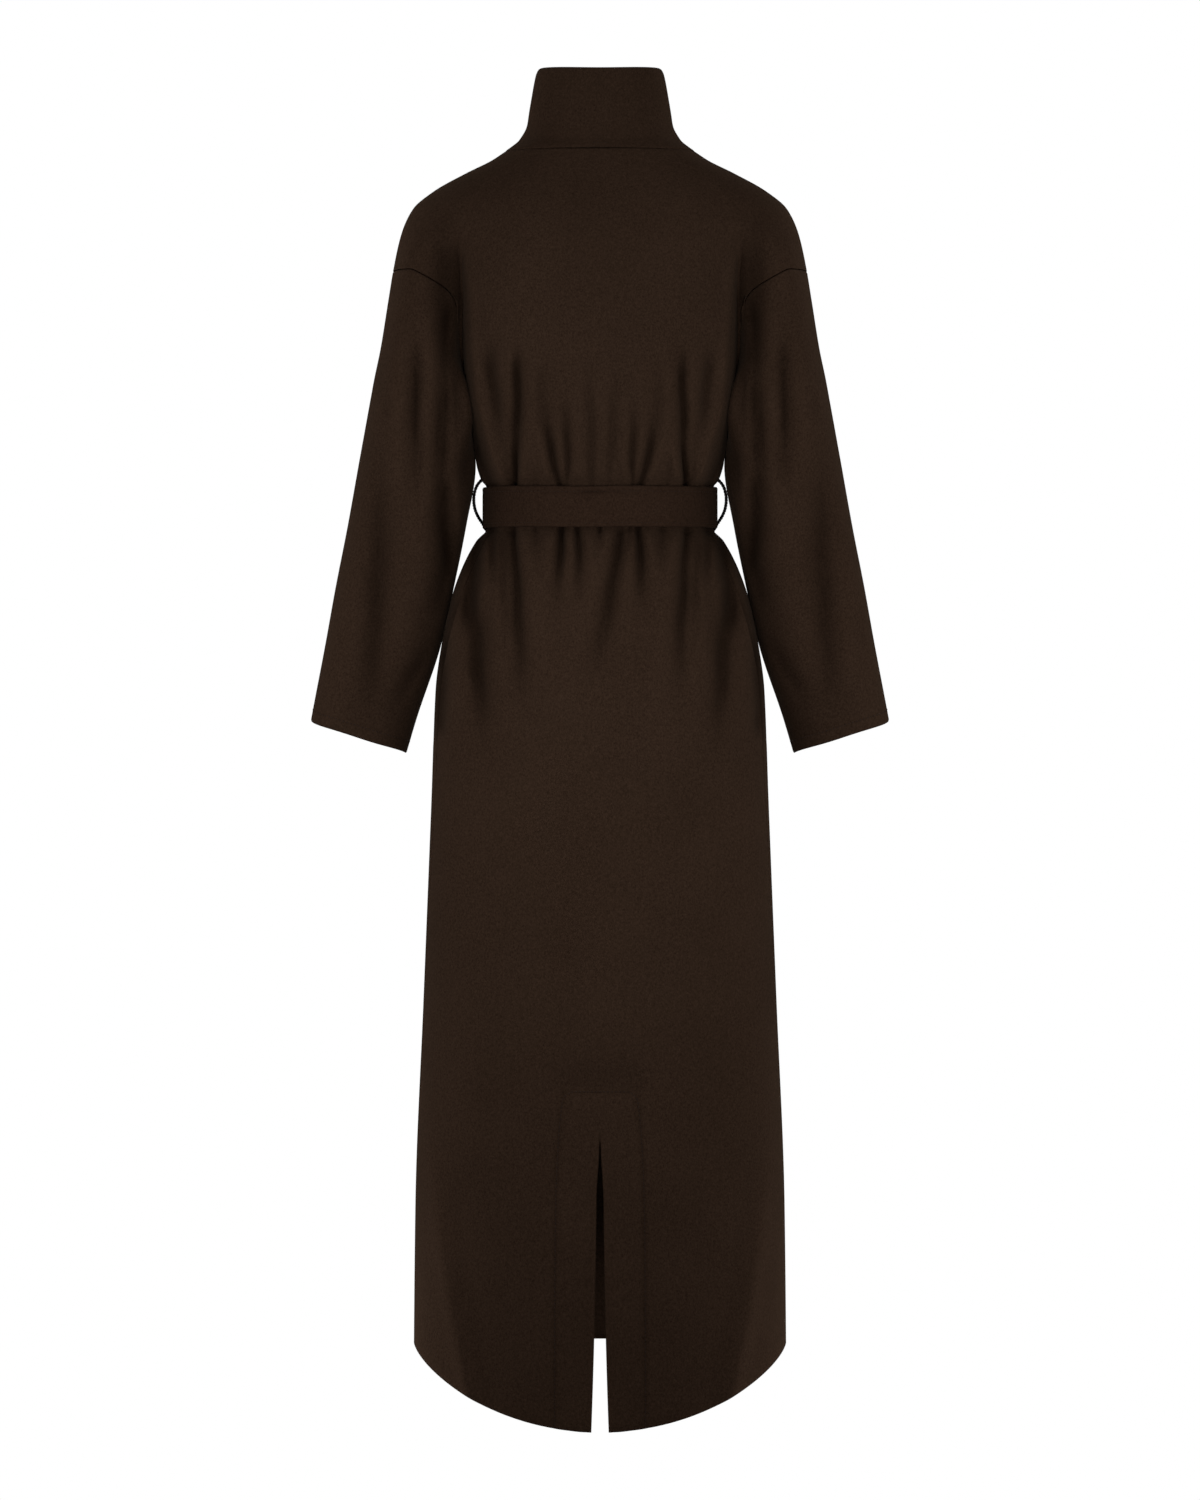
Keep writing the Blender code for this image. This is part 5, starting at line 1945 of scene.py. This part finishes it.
@dataclass
class Belt:
    """The belt: its band, its knot, its two ends and the thread loops that hold it."""

    wardrobe: Wardrobe
    around: int = 320
    band_shares: tuple[float, ...] = (
        0.0, 0.03, 0.075, 0.1, 0.13, 0.2, 0.3, 0.4, 0.5, 0.6, 0.68, 0.74, 0.79, 0.83, 0.865, 0.895, 0.93,
        0.97, 1.0)
    stitch_top: float = 0.0056
    stitch_low: float = 0.0042
    near: float = 0.001
    edge_share: float = 0.03
    edge_drop: float = 0.0006
    groove: float = 0.0003
    groove_wide: float = 0.0012
    ridge: float = 0.0006
    ridge_place: float = 0.90
    ridge_sway: float = 0.02
    ridge_wide: float = 0.035
    trough: float = 0.0020
    trough_place: float = 0.82
    trough_sway: float = 0.03
    trough_wide: float = 0.05
    buckled_reach: float = 0.7
    wave: float = 0.0003
    sag: float = 0.00048
    sway: float = 0.00024
    # Painted shade on the band: darker towards the sides, where it turns away, and in the buckle's trough
    side_shade: float = 0.0046
    side_shade_start: float = 0.035
    side_shade_run: float = 0.075
    trough_shade: float = 0.0085
    knot: KnotShape = KnotShape()
    knot_half_width: float = 0.025
    knot_half_height: float = 0.025
    knot_depth: float = 0.024
    knot_offset: float = 0.012
    knot_clear: float = 0.0030
    end_half_width: float = 0.0205
    end_clear: float = 0.0022
    end_start: float = 0.0165
    end_rows: int = 90
    end_tip: float = 0.003
    end_columns: int = 14
    end_edge: float = 0.03
    end_neck: float = 0.72
    end_widen: float = 1.6
    end_gather: float = 0.0010
    end_wave: float = 0.0012
    end_stand: float = 0.009
    end_dip: float = 0.0005
    loop_radius: float = 0.0013
    loop_points: int = 130
    loop_smoothing: int = 60
    loop_twists: int = 12
    strand_radius: float = 0.94
    strand_offset: float = 0.42

    def stitch_levels(self) -> tuple[float, float]:
        """Heights of the two stitch lines."""
        return S.belt_top - self.stitch_top, S.belt_bottom + self.stitch_low

    def surface(self, angles: Array, heights: Array, lift: float) -> Array:
        """The belt's outside, a little buckled where it is drawn tight.

        Args:
            angles: Angles from the centre back.
            heights: Heights on the belt.
            lift: How far off the belt's inner face.

        Returns:
            The points.
        """
        ripple = self.ripple(angles)
        share = (heights - S.belt_bottom) / (S.belt_top - S.belt_bottom)
        edge = ease(share / self.edge_share) * ease((1 - share) / self.edge_share)
        groove = sum(bell(heights, level, self.groove_wide) for level in self.stitch_levels())
        ridge = bell(share, self.ridge_place + self.ridge_sway * ripple, self.ridge_wide)
        ridge = self.ridge * ridge * self.buckled(angles)
        out = lift - self.edge_drop * (1 - edge) + ridge - self.groove * groove
        out = out - self.trough * self.buckle(angles, share) + self.wave * ripple
        sag = self.sag * np.cos(2 * angles) + self.sway * np.sin(5 * angles)
        return self.wardrobe.form.belt(angles, heights - sag, out)

    def buckled(self, angles: Array) -> Array:
        """Where the belt buckles: behind and in front, and not at the sides."""
        return ease(self.buckled_reach - np.abs(np.sin(angles)))

    @staticmethod
    def ripple(angles: Array) -> Array:
        """An uneven wave along the belt."""
        return sum(share * np.sin(turns * angles + start) for turns, start, share in RIPPLE)

    def buckle(self, angles: Array, share: Array) -> Array:
        """How deep the belt buckles along its top.

        Args:
            angles: Angles from the centre back.
            share: Shares of the belt's width.

        Returns:
            The depth, about 1 where it is deepest.
        """
        uneven = 0.6 + 0.5 * np.sin(9 * angles + 0.4) * np.sin(4 * angles + 1.0)
        trough = bell(share, self.trough_place + self.trough_sway * self.ripple(angles), self.trough_wide)
        return uneven * trough * self.buckled(angles)

    def build_band(self) -> bpy.types.Object:
        """The band round the waist.

        Returns:
            The piece.
        """
        angles = np.linspace(0, 2 * pi, self.around + 1)
        places, shares = np.meshgrid(angles, self.band_shares)
        points = self.surface(places, between(S.belt_bottom, S.belt_top, shares), S.belt_cloth)
        normals = grid_normals(points, -1, closed=True)
        # Painted shade: the band's colour darker at the sides and in the buckle's trough
        side = ease((np.abs(points[..., 0]) - self.side_shade_start) / self.side_shade_run)
        turned = self.side_shade * side + self.trough_shade * self.buckle(places, shares)
        piece = ClothMesh("belt_band_cloth", points, S.belt_cloth, normals, turned).build(closed=True)
        return self.wardrobe.dress(piece, self.wardrobe.belt_wool, Slot.BELT, "belt_band")

    def sew_band(self) -> bpy.types.Object:
        """The two stitch lines along the belt.

        Returns:
            The sewing.
        """
        angles = np.linspace(0, 2 * pi, self.around + 1)
        rows = []
        for level in self.stitch_levels():
            places, levels = np.meshgrid(angles, (level - self.near, level, level + self.near))
            points = self.surface(places, levels, S.belt_cloth)
            normals = grid_normals(points, -1, closed=True)[1]
            rows.append(StitchRow(points[1], normals))
        piece = sew("belt_stitches", rows)
        return self.wardrobe.dress(piece, self.wardrobe.tonal_thread, Slot.BELT)

    def build_knot(self) -> bpy.types.Object:
        """The knot: a tight wrap over two drawn-in tucks.

        Returns:
            The piece.
        """
        bm = bmesh.new()
        bmesh.ops.create_cube(bm, size=2.0)
        bmesh.ops.subdivide_edges(bm, edges=bm.edges[:], cuts=self.knot.cuts, use_grid_fill=True)
        middle = np.array((S.belt_middle,))
        foot = self.wardrobe.form.belt(np.array((pi,)), middle, S.belt_cloth + self.knot_clear)[0][1]
        for vert in bm.verts:
            wide, depth, tall = self.knot.place(*vert.co)
            vert.co.x = self.knot_offset + self.knot_half_width * wide
            vert.co.y = foot - self.knot_depth * depth
            vert.co.z = S.belt_middle + self.knot_half_height * tall
        bmesh.ops.smooth_vert(
            bm, verts=bm.verts[:], factor=0.5, use_axis_x=True, use_axis_y=True, use_axis_z=True)
        bmesh.ops.recalc_face_normals(bm, faces=bm.faces[:])
        piece = link_mesh("belt_knot_cloth", bm)
        return self.wardrobe.dress(piece, self.wardrobe.belt_wool, Slot.BELT, "belt_knot")

    def build_end(self, side: Side, lean: float, length: float) -> bpy.types.Object:
        """A belt end hanging from the knot down the front.

        Args:
            side: Which end.
            lean: How far its tip swings out.
            length: How far it hangs.

        Returns:
            The piece.
        """
        form = self.wardrobe.form
        fall = edged(self.end_rows, self.end_tip)
        fall, across = np.meshgrid(fall, edged(self.end_columns, self.end_edge) * 2 - 1, indexing="ij")
        centre = self.knot_offset + side.value * self.end_start + lean * fall
        half = self.end_half_width * np.minimum(self.end_neck + fall * self.end_widen, 1.0)
        top = S.belt_middle - self.knot_half_height - S.nudge
        x = centre + half * across
        z = top - length * fall
        gather = self.end_gather * np.cos(3.2 * pi * across) * (1 - ease(fall * 5))
        wave = self.end_wave * (1 + np.sin(7 * fall + 2.1 * across * side.value)) * ease(fall * 3)
        clear = self.end_clear + self.end_stand * (1 - ease(fall * 4)) + np.abs(gather) + wave
        points = form.front_face(x, z, clear + S.belt_cloth)
        node = f"belt_end_{side.word}"
        normals = grid_normals(points, 1)
        normals = np.where(normals[..., 1:2] > 0, -normals, normals)
        piece = ClothMesh(f"{node}_cloth", points, S.belt_cloth, normals).build(dip=self.end_dip)
        return self.wardrobe.dress(piece, self.wardrobe.belt_wool, Slot.BELT, node)

    def build_loop(self, side: Side) -> bpy.types.Object:
        """A crocheted thread loop that stands off the side of the coat, two strands twisted together.

        Args:
            side: Which loop.

        Returns:
            The piece.
        """
        step = np.linspace(0, 1, self.loop_points)
        rough = np.array([(row.x, row.y, row.level) for row in LOOP])
        run = np.linspace(0, 1, len(LOOP))
        path = np.stack([np.interp(step, run, rough[:, axis]) for axis in range(3)], axis=-1)
        for _ in range(self.loop_smoothing):
            path[1:-1] = (path[:-2] + 2 * path[1:-1] + path[2:]) / 4
        along = unit(np.gradient(path, axis=0))
        out = unit(np.cross(along, np.array((0.0, 1.0, 0.0))))
        over = np.cross(along, out)
        node = f"belt_loop_{side.word}"
        curve = bpy.data.curves.new(f"{node}_thread", "CURVE")
        curve.dimensions = "3D"
        curve.bevel_depth = self.loop_radius * self.strand_radius
        curve.bevel_resolution = 2
        curve.use_fill_caps = True
        for strand in (0.0, pi):
            turn = (2 * pi * self.loop_twists * step + strand)[:, None]
            wound = path + self.loop_radius * self.strand_offset * (np.cos(turn) * out + np.sin(turn) * over)
            spline = curve.splines.new("POLY")
            spline.points.add(len(step) - 1)
            for point, place in zip(spline.points, wound):
                point.co = (side.value * place[0], place[1], place[2], 1.0)
        piece = bpy.data.objects.new(f"{node}_thread", curve)
        bpy.context.scene.collection.objects.link(piece)
        return self.wardrobe.dress(piece, self.wardrobe.black_thread, Slot.THREAD, node)


@dataclass(frozen=True)
class SoftBox:
    """One large soft lamp."""

    name: str
    place: tuple[float, float, float]
    aim: tuple[float, float, float]
    size: tuple[float, float]
    power: float
    paired: bool = True

    def lamps(self) -> list["SoftBox"]:
        """The lamp itself, or the two of a pair, left first."""
        return [self.on(side) for side in Side] if self.paired else [self]

    def on(self, side: Side) -> "SoftBox":
        """One lamp of a pair."""
        place, aim = ((side.value * spot[0], *spot[1:]) for spot in (self.place, self.aim))
        return replace(self, name=f"{self.name}_{side.word}", place=place, aim=aim)


@dataclass
class Studio:
    """The camera, the floor and the light."""

    distance: float = 8.0
    height: float = -0.610
    frame_height: float = 1.530
    sensor: float = 36.0
    floor_level: float = -1.62
    floor_radius: float = 0.9
    floor_tone: Colour = (0.50, 0.50, 0.50)
    backdrop_distance: float = 14.0
    backdrop_size: float = 7.0
    sky: float = 0.03
    white: Colour = (1.0, 1.0, 1.0)
    boxes: tuple[SoftBox, ...] = (
        SoftBox("key", (1.0, 0.74, -0.40), (0.0, 0.0, -0.42), (0.5, 0.8), 3.4),
        SoftBox("camera_box", (0.0, 1.05, -0.52), (0.0, 0.0, -0.52), (0.6, 0.6), 6.2, paired=False),
        SoftBox("top_box", (0.0, 0.75, 0.95), (0.0, 0.0, -0.10), (0.8, 0.5), 3.5, paired=False),
        SoftBox("shoulder_box", (0.75, 0.40, 0.70), (0.13, 0.02, -0.04), (0.35, 0.35), 1.2),
        SoftBox("arm_box", (0.95, 0.15, -0.58), (0.26, 0.0, -0.52), (0.25, 0.4), 1.7),
        SoftBox("hem_box", (1.05, -0.38, -1.20), (0.18, 0.0, -1.18), (0.3, 0.4), 2.4),
        SoftBox("corner_box", (0.52, 0.0, -1.44), (0.16, 0.05, -1.27), (0.12, 0.12), 1.2),
        SoftBox("collar_box", (0.55, -0.30, 0.10), (0.0, 0.0, 0.04), (0.2, 0.2), 1.7),
        SoftBox("front_box", (0.0, -2.2, -0.30), (0.0, 0.0, -0.55), (1.2, 1.2), 22.0, paired=False),
    )

    def build(self) -> None:
        """Sets up the whole studio."""
        self.add_camera()
        self.add_floor()
        self.add_backdrop()
        self.add_sky()
        lamps = [lamp for box in self.boxes for lamp in box.lamps()]
        for lamp in lamps:
            self.add_lamp(lamp)
        bpy.context.scene.view_settings.view_transform = "Standard"
        LOG.info("studio with %d lamps", len(lamps))

    def add_camera(self) -> None:
        """A long lens square to the back of the coat."""
        data = bpy.data.cameras.new("camera")
        data.sensor_width = self.sensor
        data.lens = self.sensor * self.distance / self.frame_height
        camera = bpy.data.objects.new("camera", data)
        camera.location = (0.0, self.distance, self.height)
        camera.rotation_euler = (pi / 2, 0.0, pi)
        bpy.context.scene.collection.objects.link(camera)
        bpy.context.scene.camera = camera

    def add_floor(self) -> None:
        """A plain pale floor well below the hem."""
        bm = bmesh.new()
        spot = Matrix.Translation((0.0, 0.0, self.floor_level))
        bmesh.ops.create_circle(bm, cap_ends=True, segments=96, radius=self.floor_radius, matrix=spot)
        floor = link_mesh("floor", bm)
        bench = NodeBench("pale_floor")
        sockets = {"Base Color": (*self.floor_tone, 1.0), "Roughness": 1.0, "Specular IOR Level": 0.0}
        shader = bench.node("ShaderNodeBsdfPrincipled", {}, sockets)
        floor.data.materials.append(bench.close(shader, self.floor_tone))

    def add_backdrop(self) -> None:
        """A lit white sheet far behind the coat."""
        bm = bmesh.new()
        spot = Matrix.Translation((0.0, -self.backdrop_distance, self.height))
        spot = spot @ Matrix.Rotation(pi / 2, 4, "X")
        bmesh.ops.create_grid(bm, x_segments=1, y_segments=1, size=self.backdrop_size / 2, matrix=spot)
        backdrop = link_mesh("backdrop", bm)
        bench = NodeBench("lit_backdrop")
        shader = bench.node("ShaderNodeEmission", {}, {"Color": (*self.white, 1.0), "Strength": 1.0})
        backdrop.data.materials.append(bench.close(shader, self.white))

    def add_sky(self) -> None:
        """An even surround."""
        world = bpy.data.worlds.new("surround")
        world.use_nodes = True
        background = world.node_tree.nodes["Background"]
        background.inputs["Color"].default_value = (*self.white, 1.0)
        background.inputs["Strength"].default_value = self.sky
        bpy.context.scene.world = world

    def add_lamp(self, lamp: SoftBox) -> None:
        """Adds one soft box that faces the coat.

        Args:
            lamp: Its place, size and power.
        """
        data = bpy.data.lights.new(lamp.name, "AREA")
        data.shape = "RECTANGLE"
        data.size, data.size_y = lamp.size
        data.energy = lamp.power
        item = bpy.data.objects.new(lamp.name, data)
        item.location = lamp.place
        aim = Vector(lamp.aim) - Vector(lamp.place)
        item.rotation_euler = aim.to_track_quat("-Z", "Y").to_euler()
        bpy.context.scene.collection.objects.link(item)


def main() -> None:
    """Builds the studio and dresses every piece of the coat."""
    logging.basicConfig(level=logging.INFO, format="%(name)s: %(message)s")
    Studio().build()
    wardrobe = Wardrobe(
        CoatForm(),
        WoolFinish("brown_wool").material(),
        # The belt's wool is the coat's wool made darker, as painted shade on the belt
        WoolFinish("belt_wool", deep=(0.0133, 0.0073, 0.0045), pale=(0.0315, 0.0178, 0.0116)).material(),
        ThreadFinish("tonal_thread", (0.010, 0.0054, 0.0034), (0.022, 0.012, 0.0076)).material(),
        ThreadFinish("black_thread", (0.003, 0.003, 0.003), (0.008, 0.007, 0.007)).material(),
    )
    panels = BodyPanels(wardrobe)
    sleeves = Sleeves(wardrobe, panels)
    collar = Collar(wardrobe)
    belt = Belt(wardrobe)
    back = panels.build_back()
    slit_sewing = panels.sew_slit()
    right = panels.build_front(Side.RIGHT, 1.0)
    left = panels.build_front(Side.LEFT, 0.0)
    facing = panels.build_facing()
    neck = collar.build()
    tack = collar.sew_tack()
    for side in Side:
        sleeve = sleeves.build(side)
        cuff_sewing = sleeves.sew_cuff(side)
        belt.build_loop(side)
    band = belt.build_band()
    belt_sewing = belt.sew_band()
    belt.build_knot()
    end_right = belt.build_end(Side.RIGHT, lean=-0.030, length=0.330)
    end_left = belt.build_end(Side.LEFT, lean=0.036, length=0.290)


if __name__ == "__main__":
    main()
